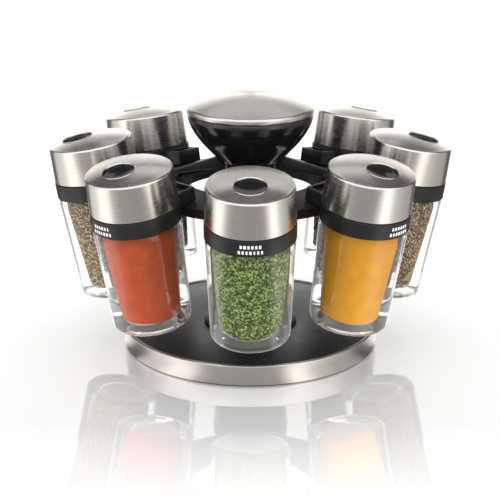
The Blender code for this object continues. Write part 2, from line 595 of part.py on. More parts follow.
def station(turn):
    """The place on the crown of a station, as a turn about the jar's axis."""
    return Matrix.Rotation(turn, 4, "Z") @ Matrix.Translation((0, -APERTURE_OFFSET, 0))


def sifter_mesh():
    """The plug in the neck: a blank dish and, on the other side, a group of sprinkling holes."""
    top = cap_crown(CAP_WALL + SEAT_GAP)
    plug, flange_foot = CAVITY_RADIUS - GAP, NECK_TOP + GAP
    inner = plug - SIFTER_SKIRT_WALL
    under = crown(inner, top[-1][1] - SIFTER_WALL / 2, CAP_CROWN / 2, 1)
    side = top[-1][0] + GAP
    body = turned([
        *top, (side, top[-1][1] - CAP_EDGE), (side, flange_foot), (plug, flange_foot),
        (plug, NECK_TOP - SIFTER_SKIRT_DEPTH), (inner, NECK_TOP - SIFTER_SKIRT_DEPTH), *reversed(under),
    ], SLIM_SIDES)
    surface = crossing(top, 0, APERTURE_OFFSET)[1]
    ball = (DISH_RADIUS**2 + DISH_DEPTH**2) / (2 * DISH_DEPTH)
    spread = math.degrees(math.asin(DISH_RADIUS / ball))
    bowl = arc((0, surface - DISH_DEPTH + ball), ball, -90, -90 + spread, 2)
    clear = surface + CAP_CROWN
    dish = turned([(0, bowl[0][1]), *bowl[1:], (DISH_RADIUS, clear), (0, clear)], PIN_SIDES)
    pin = rod(SPRINKLE_RADIUS, NECK_TOP, clear, 6)
    spread_turns = [Matrix.Rotation(math.tau * i / SPRINKLE_COUNT, 4, "Z") for i in range(SPRINKLE_COUNT)]
    out = Matrix.Translation((0, SPRINKLE_SPREAD, 0))
    sprinkle = [moved(pin, station(STATION_TURN) @ turn @ out) for turn in spread_turns]
    return combined(body, [moved(dish, station(0)), *sprinkle], "DIFFERENCE")


def cap_mesh():
    """The steel cap that turns on the jar, with one round aperture."""
    inner_foot, inner_top = CAP_RADIUS - CAP_WALL, CAP_TOP_RADIUS - CAP_WALL
    shell = turned([
        *cap_crown(0), (CAP_TOP_RADIUS, CAP_SHOULDER), (CAP_RADIUS, CAP_FOOT), (inner_foot, CAP_FOOT),
        (inner_top, CAP_SHOULDER), *reversed(cap_crown(CAP_WALL)),
    ], SLIM_SIDES)
    aperture = rod(APERTURE_RADIUS, CAP_SHOULDER - CAP_EDGE, CAP_SHOULDER + 3 * CAP_CROWN)
    return combined(shell, [moved(aperture, station(0))], "DIFFERENCE")


# ---------------------------------------------------------------- assembly

SPICE_COLOURS = (
    ("parsley_flakes", (0.10, 0.22, 0.03)),
    ("turmeric_powder", (0.80, 0.38, 0.02)),
    ("coriander_seed", (0.42, 0.30, 0.14)),
    ("oregano_leaf", (0.20, 0.19, 0.09)),
    ("pepper_corns", (0.10, 0.08, 0.06)),
    ("thyme_leaf", (0.23, 0.21, 0.11)),
    ("mixed_herbs", (0.40, 0.29, 0.13)),
    ("paprika_powder", (0.55, 0.10, 0.02)),
)


def build():
    """Clears the scene and makes every piece."""
    for old in list(bpy.data.objects):
        bpy.data.objects.remove(old)

    steel = finish("brushed_steel", (0.62, 0.60, 0.57), 0.3, 1.0)
    rod_steel = finish("turned_steel", (0.55, 0.55, 0.56), 0.25, 1.0)
    satin = finish("satin_black", (0.02, 0.02, 0.022), 0.4)
    gloss = finish("gloss_black", (0.012, 0.012, 0.014), 0.1)
    bearing = finish("bearing_plastic", (0.75, 0.74, 0.70), 0.45)
    iron = finish("cast_iron", (0.12, 0.12, 0.13), 0.6, 1.0)
    rubber = finish("rubber", (0.03, 0.03, 0.03), 0.8)
    glass = finish("clear_glass", (0.95, 0.97, 0.97), 0.02, 0.0, 1.0)

    add("foot_ring", foot_ring_mesh(), rubber)
    add("base_tray", base_tray_mesh(), satin)
    add("rim_band", rim_band_mesh(), steel)
    add("top_plate", top_plate_mesh(), satin)
    add("ballast_plate", ballast_plate_mesh(), iron)
    add("spindle_bush", spindle_bush_mesh(), bearing)
    add("thrust_washer", thrust_washer_mesh(), bearing)

    rotor = axis_empty("rotor_axis", Matrix.Identity(4))
    add("spindle", spindle_mesh(), rod_steel, rotor)
    add("retaining_clip", retaining_clip_mesh(), rod_steel, rotor)
    add("column", column_mesh(), satin, rotor)
    add("hub_spider", hub_spider_mesh(), satin, rotor)
    add("carrier_ring", carrier_ring_mesh(), satin, rotor)
    add("knob_bowl", knob_bowl_mesh(), gloss, rotor)
    add("knob_nut", knob_nut_mesh(), rod_steel, rotor)
    add("knob_cap", knob_cap_mesh(), steel, rotor)
    screw = arm_screw_mesh()
    for i in range(ARM_COUNT):
        placed = add(f"arm_screw_{i + 1}", screw, rod_steel, rotor)
        placed.matrix_local = Matrix.Rotation(math.tau * i / ARM_COUNT, 4, "Z") @ Matrix.Translation(
            (0, -SCREW_CIRCLE, 0))

    pieces = (("glass_jar", glass_mesh(), glass), ("collar", collar_mesh(), satin),
              ("sifter", sifter_mesh(), gloss), ("steel_cap", cap_mesh(), steel))
    filling = spice_mesh()
    for number in range(1, JAR_COUNT + 1):
        jar = axis_empty(f"jar_{number}_axis", jar_frame(number))
        for name, mesh, material in pieces:
            add(f"{name}_{number}", mesh, material, jar)
        spice, colour = SPICE_COLOURS[(number - 1) % len(SPICE_COLOURS)]
        add(f"spice_{number}", filling, finish(spice, colour, 0.9), jar)


build()
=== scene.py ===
"""Looks of the spice carousel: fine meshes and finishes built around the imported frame.

Every visible piece is a smooth mesh in its true place, and rides on the frame's body that it
belongs to. Jars are built once in a jar's own frame (origin under the glass, +Z along the jar,
-Y away from the column) and then set into the eight frames that the joints give.
"""

from __future__ import annotations

import json
import logging
import math
from dataclasses import dataclass, field
from enum import Enum
from functools import lru_cache
from typing import Iterable, Sequence

import bmesh
import bpy
import numpy as np
from mathutils import Matrix, Vector, noise

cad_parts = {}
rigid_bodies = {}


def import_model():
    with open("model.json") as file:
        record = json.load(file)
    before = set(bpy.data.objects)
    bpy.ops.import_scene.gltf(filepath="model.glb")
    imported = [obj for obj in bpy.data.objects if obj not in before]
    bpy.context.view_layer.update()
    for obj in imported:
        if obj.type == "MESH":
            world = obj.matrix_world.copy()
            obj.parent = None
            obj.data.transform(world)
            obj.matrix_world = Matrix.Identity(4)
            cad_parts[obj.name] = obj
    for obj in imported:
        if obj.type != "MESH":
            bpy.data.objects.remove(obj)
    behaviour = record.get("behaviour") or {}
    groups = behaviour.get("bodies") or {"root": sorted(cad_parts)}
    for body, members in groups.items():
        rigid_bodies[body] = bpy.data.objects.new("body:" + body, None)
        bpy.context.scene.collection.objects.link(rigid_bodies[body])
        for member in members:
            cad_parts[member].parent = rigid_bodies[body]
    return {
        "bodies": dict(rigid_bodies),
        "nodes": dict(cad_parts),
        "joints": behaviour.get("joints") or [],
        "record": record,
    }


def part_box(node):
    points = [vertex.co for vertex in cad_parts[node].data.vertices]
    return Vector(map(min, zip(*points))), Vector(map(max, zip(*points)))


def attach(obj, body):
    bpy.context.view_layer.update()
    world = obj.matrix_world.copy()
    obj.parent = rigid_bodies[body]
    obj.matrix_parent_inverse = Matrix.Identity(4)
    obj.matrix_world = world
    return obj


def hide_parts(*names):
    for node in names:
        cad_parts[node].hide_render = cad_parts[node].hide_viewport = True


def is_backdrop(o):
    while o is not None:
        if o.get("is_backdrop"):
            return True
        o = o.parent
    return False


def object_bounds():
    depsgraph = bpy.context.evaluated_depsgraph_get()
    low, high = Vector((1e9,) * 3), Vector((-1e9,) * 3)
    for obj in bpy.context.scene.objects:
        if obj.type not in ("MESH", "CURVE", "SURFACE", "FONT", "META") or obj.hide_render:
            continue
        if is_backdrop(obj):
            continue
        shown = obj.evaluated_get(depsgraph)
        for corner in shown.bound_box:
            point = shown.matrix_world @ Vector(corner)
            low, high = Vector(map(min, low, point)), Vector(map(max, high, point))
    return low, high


log = logging.getLogger("spice_carousel")

Point = tuple[float, float]
Corner = tuple[float, float, float]
Colour = tuple[float, float, float]

WRAP = "wrap"  # UV map of a turned piece: turns about its axis, and metres along its outline
GAP = 0.0003  # the clearance that neighbouring pieces keep
SEAT_GAP = GAP * 4 / 3  # the clearance under a piece that stands on another
ON_AXIS = 1e-7  # a radius below this is on the axis
SHARP = 38.0  # edges that bend by more than this many degrees stay sharp
RECESS_RISE = 0.003  # from the bush's upper face to the roof of the recess in the column's foot


# ---------------------------------------------------------------- outlines


def rounded(corners: Sequence[Corner], closed: bool = True, steps: int = 5) -> list[Point]:
    """An outline with its corners rounded.

    Args:
        corners: (radius, height, fillet) of each corner in turn.
        closed: whether the last corner leads back to the first.
        steps: stretches in each rounded corner.

    Returns:
        The points of the rounded outline.
    """
    found: list[Point] = []
    count = len(corners)
    for i, (x, y, fillet) in enumerate(corners):
        if fillet <= 0 or (not closed and i in (0, count - 1)):
            found.append((x, y))
            continue
        here = Vector((x, y))
        back = Vector(corners[i - 1][:2]) - here
        ahead = Vector(corners[(i + 1) % count][:2]) - here
        half = back.angle(ahead) / 2
        cut = min(fillet / math.tan(half), 0.49 * back.length, 0.49 * ahead.length)
        radius = cut * math.tan(half)
        back.normalize()
        ahead.normalize()
        centre = here + (back + ahead).normalized() * (radius / math.sin(half))
        start, end = here + back * cut - centre, here + ahead * cut - centre
        sweep = start.angle_signed(end)
        for k in range(steps + 1):
            turned = start.copy()
            turned.rotate(Matrix.Rotation(-sweep * k / steps, 2))
            found.append((centre.x + turned.x, centre.y + turned.y))
    return found


def bezier(corners: Sequence[Point], steps: int) -> list[Point]:
    """Points along a cubic curve.

    Args:
        corners: the curve's four corners.
        steps: stretches that the curve is cut into.

    Returns:
        The points, one more than there are stretches.
    """
    points = []
    for i in range(steps + 1):
        t = i / steps
        weights = ((1 - t) ** 3, 3 * t * (1 - t) ** 2, 3 * t**2 * (1 - t), t**3)
        points.append(tuple(sum(w * c[k] for w, c in zip(weights, corners)) for k in (0, 1)))
    return points


def crown_height(radius: float, edge_radius: float, edge_height: float, rise: float) -> float:
    """The height of a shallow spherical crown.

    Args:
        radius: how far from the axis the height is wanted.
        edge_radius: radius of the crown's edge.
        edge_height: height of the crown's edge.
        rise: how far the crown's middle stands above its edge.

    Returns:
        The height at that radius.
    """
    ball = (edge_radius**2 + rise**2) / (2 * rise)
    return edge_height + rise - ball + math.sqrt(max(ball**2 - radius**2, 0.0))


def crossing(points: Sequence[Point], axis: int, value: float) -> Point:
    """The point at which a rising outline reaches a radius or a height.

    Args:
        points: the outline.
        axis: 0 for a radius, 1 for a height.
        value: the radius or height to reach.

    Returns:
        The point on the outline, or its last point.
    """
    for start, end in zip(points, points[1:]):
        if start[axis] <= value <= end[axis]:
            share = (value - start[axis]) / (end[axis] - start[axis])
            return start[0] + (end[0] - start[0]) * share, start[1] + (end[1] - start[1]) * share
    return points[-1]


# ---------------------------------------------------------------- meshes


def ring(radius: float, height: float, sides: int, offset: float = 0.0) -> np.ndarray:
    """One loop of points round the axis.

    Args:
        radius: the loop's radius.
        height: its height.
        sides: its number of points.
        offset: how far its middle lies towards -Y.

    Returns:
        The points as rows.
    """
    turns = np.arange(sides) * (math.tau / sides)
    return np.stack([radius * np.cos(turns), radius * np.sin(turns) - offset, np.full(sides, height)], 1)


def skinned(name: str, loops: Sequence[np.ndarray], closed: bool, sharp: float = SHARP) -> bpy.types.Mesh:
    """A mesh stretched over loops of points.

    Args:
        name: the mesh's name.
        loops: loops with the same number of points, or single points where the skin closes.
        closed: whether the last loop leads back to the first.
        sharp: edges that bend by more than this many degrees stay sharp.

    Returns:
        The mesh, with its WRAP map and its normals outwards.
    """
    sides = max(len(loop) for loop in loops)
    starts = np.cumsum([0] + [len(loop) for loop in loops])
    points = np.concatenate(loops)
    lengths = [0.0]
    for a, b in zip(loops, loops[1:]):
        lengths.append(lengths[-1] + float(np.linalg.norm(b - a, axis=1).mean()))
    faces, maps = [], []
    pairs = list(zip(range(len(loops) - 1), range(1, len(loops))))
    if closed:
        pairs.append((len(loops) - 1, 0))
        lengths.append(lengths[-1] + float(np.linalg.norm(loops[0] - loops[-1], axis=1).mean()))
    for a, b in pairs:
        low, high = lengths[a], lengths[b if b else len(loops)]
        for j in range(sides):
            k, u0, u1 = (j + 1) % sides, j / sides, (j + 1) / sides
            corner = []
            if len(loops[a]) == 1:
                corner.append((starts[a], (u0 + u1) / 2, low))
            else:
                corner += [(starts[a] + j, u0, low), (starts[a] + k, u1, low)]
            if len(loops[b]) == 1:
                corner.append((starts[b], (u0 + u1) / 2, high))
            else:
                corner += [(starts[b] + k, u1, high), (starts[b] + j, u0, high)]
            faces.append([int(c[0]) for c in corner])
            maps += [(c[1], c[2]) for c in corner]
    mesh = bpy.data.meshes.new(name)
    mesh.from_pydata(points.tolist(), [], faces)
    layer = mesh.uv_layers.new(name=WRAP)
    layer.uv.foreach_set("vector", np.array(maps, np.float32).ravel())
    bm = bmesh.new()
    bm.from_mesh(mesh)
    bmesh.ops.recalc_face_normals(bm, faces=bm.faces)
    if bm.calc_volume(signed=True) < 0:
        bmesh.ops.reverse_faces(bm, faces=bm.faces)
    bm.to_mesh(mesh)
    bm.free()
    mesh.shade_smooth()
    mesh.set_sharp_from_angle(angle=math.radians(sharp))
    return mesh


def turned(name: str, outline: Sequence[Point], sides: int = 128, sharp: float = SHARP) -> bpy.types.Mesh:
    """A mesh made by turning an outline about Z.

    Args:
        name: the mesh's name.
        outline: its outline. One that starts on the axis also ends there.
        sides: points in each loop.
        sharp: edges that bend by more than this many degrees stay sharp.

    Returns:
        The mesh.
    """
    loops = [ring(r, z, sides) if r > ON_AXIS else np.array([[0.0, 0.0, z]]) for r, z in outline]
    return skinned(name, loops, closed=outline[0][0] > ON_AXIS, sharp=sharp)


def block(name: str, outline: Sequence[Point], width: float, bevel: float) -> bpy.types.Mesh:
    """An outline thickened along X.

    Args:
        name: the mesh's name.
        outline: its (y, z) points.
        width: its thickness along X.
        bevel: how much its edges are rounded.

    Returns:
        The mesh.
    """
    bm = bmesh.new()
    face = bm.faces.new([bm.verts.new((-width / 2, y, z)) for y, z in outline])
    grown = bmesh.ops.extrude_face_region(bm, geom=[face])["geom"]
    corners = [part for part in grown if isinstance(part, bmesh.types.BMVert)]
    bmesh.ops.translate(bm, verts=corners, vec=(width, 0, 0))
    bmesh.ops.recalc_face_normals(bm, faces=bm.faces)
    if bevel > 0:
        bmesh.ops.bevel(bm, geom=bm.edges[:], offset=bevel, segments=3, profile=0.5, affect="EDGES")
    mesh = bpy.data.meshes.new(name)
    bm.to_mesh(mesh)
    bm.free()
    mesh.uv_layers.new(name=WRAP)
    return mesh


def moved(mesh: bpy.types.Mesh, matrix: Matrix, name: str | None = None) -> bpy.types.Mesh:
    """A copy of a mesh in another place.

    Args:
        mesh: the mesh to copy.
        matrix: the move.
        name: the copy's name, if it has one of its own.

    Returns:
        The moved copy.
    """
    copy = mesh.copy()
    copy.name = name or mesh.name
    copy.transform(matrix)
    return copy


class Cut(Enum):
    """What a Boolean does with its tools."""

    JOIN = "UNION"
    TAKE = "DIFFERENCE"


def combined(mesh: bpy.types.Mesh, tools: Iterable[bpy.types.Mesh], cut: Cut,
             sharp: float = SHARP) -> bpy.types.Mesh:
    """A mesh after each tool has been joined to it or taken from it.

    Args:
        mesh: the mesh to start from.
        tools: the meshes to join or take away.
        cut: which of the two.
        sharp: edges that bend by more than this many degrees stay sharp.

    Returns:
        The new mesh.
    """
    body = bpy.data.objects.new("bench_body", mesh)
    bpy.context.scene.collection.objects.link(body)
    helpers = [body]
    for tool in tools:
        helper = bpy.data.objects.new("bench_tool", tool)
        bpy.context.scene.collection.objects.link(helper)
        helpers.append(helper)
        modifier = body.modifiers.new("cut", "BOOLEAN")
        modifier.operation, modifier.solver, modifier.object = cut.value, "EXACT", helper
    graph = bpy.context.evaluated_depsgraph_get()
    result = bpy.data.meshes.new_from_object(body.evaluated_get(graph))
    for helper in helpers:
        bpy.data.objects.remove(helper)
    result.shade_smooth()
    result.set_sharp_from_angle(angle=math.radians(sharp))
    return result


# ---------------------------------------------------------------- node trees


class Bench:
    """A node tree that is being wired."""

    def __init__(self, tree: bpy.types.NodeTree) -> None:
        """Takes the tree that new nodes go into."""
        self.tree = tree

    def add(self, kind: str, inputs: dict | None = None, **settings: object) -> bpy.types.Node:
        """Adds a node.

        Args:
            kind: the node's type, such as ShaderNodeBump.
            inputs: input name or number to a value, or to an output socket to link from.
            **settings: the node's own properties.

        Returns:
            The new node.
        """
        node = self.tree.nodes.new(kind)
        for key, value in settings.items():
            setattr(node, key, value)
        for key, value in (inputs or {}).items():
            if isinstance(value, bpy.types.NodeSocket):
                self.tree.links.new(value, node.inputs[key])
            else:
                node.inputs[key].default_value = value
        return node

    def maths(self, operation: str, *values: object) -> bpy.types.NodeSocket:
        """The result of a Math node on one, two or three values or sockets."""
        return self.add("ShaderNodeMath", dict(enumerate(values)), operation=operation).outputs[0]

    def spread(self, value: object, low: float, high: float, to_low: float = 0.0,
               to_high: float = 1.0) -> bpy.types.NodeSocket:
        """A value carried from one range to another, and held inside it."""
        return self.add("ShaderNodeMapRange", {"Value": value, "From Min": low, "From Max": high,
                                               "To Min": to_low, "To Max": to_high}).outputs["Result"]

    def ramp(self, factor: object, stops: Sequence[tuple[float, Colour]]) -> bpy.types.NodeSocket:
        """A colour read from a ramp.

        Args:
            factor: where on the ramp to read, from 0 to 1.
            stops: (place, colour) of each stop.

        Returns:
            The colour.
        """
        node = self.add("ShaderNodeValToRGB", {"Fac": factor})
        band = node.color_ramp
        while len(band.elements) < len(stops):
            band.elements.new(0.5)
        for element, (place, colour) in zip(band.elements, stops):
            element.position, element.color = place, (*colour, 1)
        return node.outputs["Color"]

    def mix(self, factor: object, first: object, second: object) -> bpy.types.NodeSocket:
        """A colour between two others."""
        return self.add("ShaderNodeMix", {0: factor, 6: first, 7: second}, data_type="RGBA").outputs[2]

    def point(self, x: object = 0.0, y: object = 0.0, z: object = 0.0) -> bpy.types.NodeSocket:
        """A vector of three values or sockets."""
        return self.add("ShaderNodeCombineXYZ", {0: x, 1: y, 2: z}).outputs[0]

    def noise(self, place: object, **inputs: object) -> bpy.types.NodeSocket:
        """The value of a Noise Texture, whose inputs are given by their names."""
        return self.add("ShaderNodeTexNoise", {"Vector": place, **inputs}).outputs["Fac"]

    def azimuth(self, x: object, y: object) -> bpy.types.NodeSocket:
        """The angle from -Y towards +X of a direction."""
        return self.maths("ARCTAN2", x, self.maths("MULTIPLY", y, -1.0))


def node_group(name: str, kind: str, inputs: Sequence[tuple[str, str, object]],
               outputs: Sequence[tuple[str, str]]) -> tuple[bpy.types.NodeTree, Bench]:
    """A new node group with named sockets.

    Args:
        name: the group's name.
        kind: its type of tree.
        inputs: (name, socket type, default) of each input.
        outputs: (name, socket type) of each output.

    Returns:
        The group, and a bench to wire it on.
    """
    tree = bpy.data.node_groups.new(name, kind)
    for label, socket_kind, default in inputs:
        socket = tree.interface.new_socket(label, in_out="INPUT", socket_type=socket_kind)
        if default is not None:
            socket.default_value = default
    for label, socket_kind in outputs:
        tree.interface.new_socket(label, in_out="OUTPUT", socket_type=socket_kind)
    return tree, Bench(tree)


SHADER, GEOMETRY = "ShaderNodeTree", "GeometryNodeTree"
FLOAT, VECTOR, COLOUR, WHOLE = "NodeSocketFloat", "NodeSocketVector", "NodeSocketColor", "NodeSocketInt"
SHAPE, MATERIAL = "NodeSocketGeometry", "NodeSocketMaterial"


def brushing_group() -> bpy.types.NodeTree:
    """Fine lines that run round a turned piece, from its WRAP map.

    Returns:
        The group.
    """
    tree, bench = node_group(
        "brushing", SHADER, [("Wrap", VECTOR, None), ("Lines", FLOAT, 9000.0), ("Run", FLOAT, 1.5)],
        [("Line", FLOAT), ("Cloud", FLOAT)])
    given = bench.add("NodeGroupInput").outputs
    parts = bench.add("ShaderNodeSeparateXYZ", {0: given["Wrap"]}).outputs
    turn = bench.maths("MULTIPLY", parts["X"], math.tau)
    across = bench.maths("MULTIPLY", bench.maths("COSINE", turn), given["Run"])
    along = bench.maths("MULTIPLY", bench.maths("SINE", turn), given["Run"])
    rows = bench.maths("MULTIPLY", parts["Y"], given["Lines"])
    fine = bench.noise(bench.point(across, along, rows), Scale=1.0, Detail=3.0, Roughness=0.65)
    broad = bench.point(across, along, bench.maths("MULTIPLY", rows, 0.03))
    cloud = bench.noise(broad, Scale=1.2, Detail=2.0)
    line, patches = bench.spread(fine, 0.25, 0.75), bench.spread(cloud, 0.3, 0.7)
    bench.add("NodeGroupOutput", {"Line": line, "Cloud": patches})
    return tree


def moulding_group() -> bpy.types.NodeTree:
    """The faint grain and the rubbed patches of a moulded piece, from Object coordinates.

    Returns:
        The group.
    """
    tree, bench = node_group(
        "moulding", SHADER, [("Place", VECTOR, None), ("Grain", FLOAT, 5000.0), ("Patch", FLOAT, 45.0)],
        [("Height", FLOAT), ("Rub", FLOAT)])
    given = bench.add("NodeGroupInput").outputs
    grain = bench.noise(given["Place"], Scale=given["Grain"], Detail=2.0)
    patch = bench.noise(given["Place"], Scale=given["Patch"], Detail=4.0, Roughness=0.6)
    bench.add("NodeGroupOutput", {"Height": grain, "Rub": bench.spread(patch, 0.35, 0.7)})
    return tree


def mottling_group() -> bpy.types.NodeTree:
    """Dark, middle and light patches at two scales, for powders and grains.

    Returns:
        The group.
    """
    tree, bench = node_group(
        "mottling", SHADER,
        [("Place", VECTOR, None), ("Fine", FLOAT, 2200.0), ("Broad", FLOAT, 260.0),
         ("Contrast", FLOAT, 0.5), ("Dark", COLOUR, (0, 0, 0, 1)), ("Middle", COLOUR, (0.5, 0.5, 0.5, 1)),
         ("Light", COLOUR, (1, 1, 1, 1)), ("Tint", FLOAT, 0.5)],
        [("Colour", COLOUR), ("Height", FLOAT)])
    given = bench.add("NodeGroupInput").outputs
    fine = bench.noise(given["Place"], Scale=given["Fine"], Detail=3.0, Roughness=0.7)
    broad = bench.noise(given["Place"], Scale=given["Broad"], Detail=2.0)
    swing = bench.maths("MULTIPLY", bench.maths("SUBTRACT", fine, 0.5), given["Contrast"])
    drift = bench.maths("MULTIPLY", bench.maths("SUBTRACT", broad, 0.5), given["Contrast"])
    level = bench.maths("ADD", bench.maths("ADD", given["Tint"], bench.maths("MULTIPLY", swing, 2.0)), drift)
    low = bench.mix(bench.spread(level, 0.0, 0.5), given["Dark"], given["Middle"])
    high = bench.mix(bench.spread(level, 0.5, 1.0), low, given["Light"])
    bench.add("NodeGroupOutput", {"Colour": high, "Height": fine})
    return tree


# Brightness round the studio, from behind by the left side, the front (0.5) and the right side.
STRIPS = ((0.0, 1.2), (0.07, 1.2), (0.12, 0.14), (0.17, 0.12), (0.20, 0.75), (0.26, 0.90), (0.305, 1.50),
          (0.35, 1.30), (0.375, 0.60), (0.41, 0.38), (0.50, 0.33), (0.565, 0.38), (0.585, 0.80), (0.61, 1.60),
          (0.635, 1.40), (0.665, 0.75), (0.73, 0.50), (0.80, 0.42), (0.83, 0.10), (0.88, 0.14), (0.93, 1.2),
          (1.0, 1.2))
ROOF_FRONT, ROOF_MIDDLE, ROOF_BACK = (1.3, 1.3, 1.3), (1.2, 1.2, 1.2), (0.07, 0.069, 0.067)
WARMTH = (1.0, 0.965, 0.93)


def surround_group() -> bpy.types.NodeTree:
    """What a shiny surface sees of the studio: grey in front, bright panels at the sides, a dim roof.

    Returns:
        The group.
    """
    tree, bench = node_group("surround", SHADER, [("Direction", VECTOR, None)], [("Colour", COLOUR)])
    given = bench.add("NodeGroupInput").outputs
    aim = bench.add("ShaderNodeVectorMath", {0: given["Direction"]}, operation="NORMALIZE").outputs[0]
    parts = bench.add("ShaderNodeSeparateXYZ", {0: aim}).outputs
    turn = bench.spread(bench.azimuth(parts["X"], parts["Y"]), -math.pi, math.pi)
    panels = bench.ramp(turn, [(place, tuple(level * warm for warm in WARMTH)) for place, level in STRIPS])
    ahead = bench.maths("MINIMUM", parts["Y"], 0.0)
    roof = bench.spread(bench.maths("SUBTRACT", parts["Z"], bench.maths("MULTIPLY", ahead, 0.17)), 0.22, 0.55)
    above = bench.ramp(bench.spread(parts["Y"], -1.0, 1.0), [
        (0.0, ROOF_FRONT), (0.42, ROOF_MIDDLE), (0.56, ROOF_BACK), (1.0, ROOF_BACK)])
    bench.add("NodeGroupOutput", {"Colour": bench.mix(roof, panels, above)})
    return tree


class Groups:
    """The shared shader groups, each built on first use."""

    makers = {"brushing": brushing_group, "moulding": moulding_group, "mottling": mottling_group,
              "surround": surround_group}

    @classmethod
    def use(cls, bench: Bench, name: str, inputs: dict[str, object]) -> bpy.types.NodeOutputs:
        """Places a shared group in a material with its own values, and gives its outputs."""
        tree = bpy.data.node_groups.get(name) or cls.makers[name]()
        return bench.add("ShaderNodeGroup", inputs, node_tree=tree).outputs


# ---------------------------------------------------------------- finishes


@dataclass(frozen=True)
class Finish:
    """A material with plain values; the finishes below add what shows on their own surface."""

    name: str
    colour: Colour
    roughness: float = 0.4
    metallic: float = 0.0
    coat: float = 0.0
    coat_roughness: float = 0.1
    specular: float = 0.5

    @lru_cache(maxsize=None)
    def make(self) -> bpy.types.Material:
        """Makes the material once, and gives the same one after that.

        Returns:
            The material.
        """
        material = bpy.data.materials.new(self.name)
        material.use_nodes = True
        bench = Bench(material.node_tree)
        shader = material.node_tree.nodes["Principled BSDF"]
        for key, value in (("Base Color", (*self.colour, 1)), ("Roughness", self.roughness),
                           ("Metallic", self.metallic), ("Coat Weight", self.coat),
                           ("Coat Roughness", self.coat_roughness), ("Specular IOR Level", self.specular)):
            shader.inputs[key].default_value = value
        self.detail(bench, shader)
        return material

    def detail(self, bench: Bench, shader: bpy.types.Node) -> None:
        """Adds the surface's own detail.

        Args:
            bench: the material's node tree.
            shader: its Principled BSDF.
        """

    @staticmethod
    def bump(bench: Bench, shader: bpy.types.Node, height: object, depth: float) -> None:
        """Feeds a Bump node to the shader's normal."""
        node = bench.add("ShaderNodeBump", {"Height": height, "Distance": depth, "Strength": 1.0})
        bench.tree.links.new(node.outputs["Normal"], shader.inputs["Normal"])


@dataclass(frozen=True)
class BrushedSteel(Finish):
    """Stainless steel brushed round its axis."""

    lines: float = 9000.0
    anisotropy: float = 0.7
    depth: float = 0.0000015
    across_lines: float = 0.25
    darkest: float = 0.93
    lightest: float = 1.05
    unevenness: float = 0.15

    def detail(self, bench: Bench, shader: bpy.types.Node) -> None:
        """Adds lines, cloudy roughness and a highlight that is drawn out across the lines.

        Args:
            bench: the material's node tree.
            shader: its Principled BSDF.
        """
        wrap = bench.add("ShaderNodeUVMap", uv_map=WRAP).outputs[0]
        group = Groups.use(bench, "brushing", {"Wrap": wrap, "Lines": self.lines})
        link = bench.tree.links.new
        darker = tuple(c * self.darkest for c in self.colour)
        lighter = tuple(min(c * self.lightest, 1.0) for c in self.colour)
        link(bench.mix(group["Line"], (*darker, 1), (*lighter, 1)), shader.inputs["Base Color"])
        swing = self.roughness * self.unevenness
        rough = bench.spread(group["Line"], 0, 1, self.roughness - swing, self.roughness + swing)
        cloud = bench.spread(group["Cloud"], 0, 1, 0.0, swing)
        link(bench.maths("ADD", rough, cloud), shader.inputs["Roughness"])
        shader.inputs["Anisotropic"].default_value = self.anisotropy
        shader.inputs["Anisotropic Rotation"].default_value = self.across_lines
        tangent = bench.add("ShaderNodeTangent", direction_type="UV_MAP", uv_map=WRAP)
        link(tangent.outputs[0], shader.inputs["Tangent"])
        self.bump(bench, shader, group["Line"], self.depth)


@dataclass(frozen=True)
class MouldedPlastic(Finish):
    """Moulded plastic or rubber, with a faint grain and rubbed patches."""

    grain: float = 4000.0
    depth: float = 0.00001

    def detail(self, bench: Bench, shader: bpy.types.Node) -> None:
        """Adds grain to the surface and lets rubbed patches shine a little more.

        Args:
            bench: the material's node tree.
            shader: its Principled BSDF.
        """
        place = bench.add("ShaderNodeTexCoord").outputs["Object"]
        group = Groups.use(bench, "moulding", {"Place": place, "Grain": self.grain})
        link = bench.tree.links.new
        dull, shiny = self.roughness * 1.12, self.roughness * 0.82
        link(bench.spread(group["Rub"], 0, 1, dull, shiny), shader.inputs["Roughness"])
        worn = tuple(min(c * 1.35 + 0.002, 1.0) for c in self.colour)
        link(bench.mix(group["Rub"], (*self.colour, 1), (*worn, 1)), shader.inputs["Base Color"])
        self.bump(bench, shader, group["Height"], self.depth)


@dataclass(frozen=True)
class ClearGlass(Finish):
    """Clear glass that lets lamps through to what it holds."""

    bend: float = 1.14
    skin_bend: float = 1.5
    # painted shade: a grey mixed into the glass's colour where its wall is seen edge on, standing in for the dark
    # lines at the glass's limb
    edge: Colour = (0.40, 0.42, 0.43)
    limb_shade_power: float = 4.0
    glow: float = 0.9
    glow_roughness: float = 0.34
    shadow: Colour = (0.94, 0.95, 0.95)

    def detail(self, bench: Bench, shader: bpy.types.Node) -> None:
        """Makes the shader clear, with a sheen that is pale where its wall is seen edge on and a painted shade
        that greys its colour there, and open to shadow rays.

        Args:
            bench: the material's node tree.
            shader: its Principled BSDF.
        """
        for key, value in (("Transmission Weight", 1.0), ("IOR", self.bend), ("Coat IOR", self.skin_bend),
                           ("Sheen Weight", self.glow), ("Sheen Roughness", self.glow_roughness)):
            shader.inputs[key].default_value = value
        link = bench.tree.links.new
        path = bench.add("ShaderNodeLightPath").outputs
        facing = bench.add("ShaderNodeLayerWeight", {"Blend": 0.5}).outputs["Facing"]
        # painted shade: the glass's colour turns grey towards its limb, by the view angle
        rim = bench.maths("POWER", facing, self.limb_shade_power)
        link(bench.mix(rim, (*self.colour, 1), (*self.edge, 1)), shader.inputs["Base Color"])
        link(bench.maths("LESS_THAN", path["Ray Depth"], 0.5), shader.inputs["Coat Weight"])
        clear = bench.add("ShaderNodeBsdfTransparent", {"Color": (*self.shadow, 1)})
        both = bench.add("ShaderNodeMixShader", {0: path["Is Shadow Ray"], 1: shader.outputs[0],
                                                 2: clear.outputs[0]})
        link(both.outputs[0], bench.tree.nodes["Material Output"].inputs["Surface"])


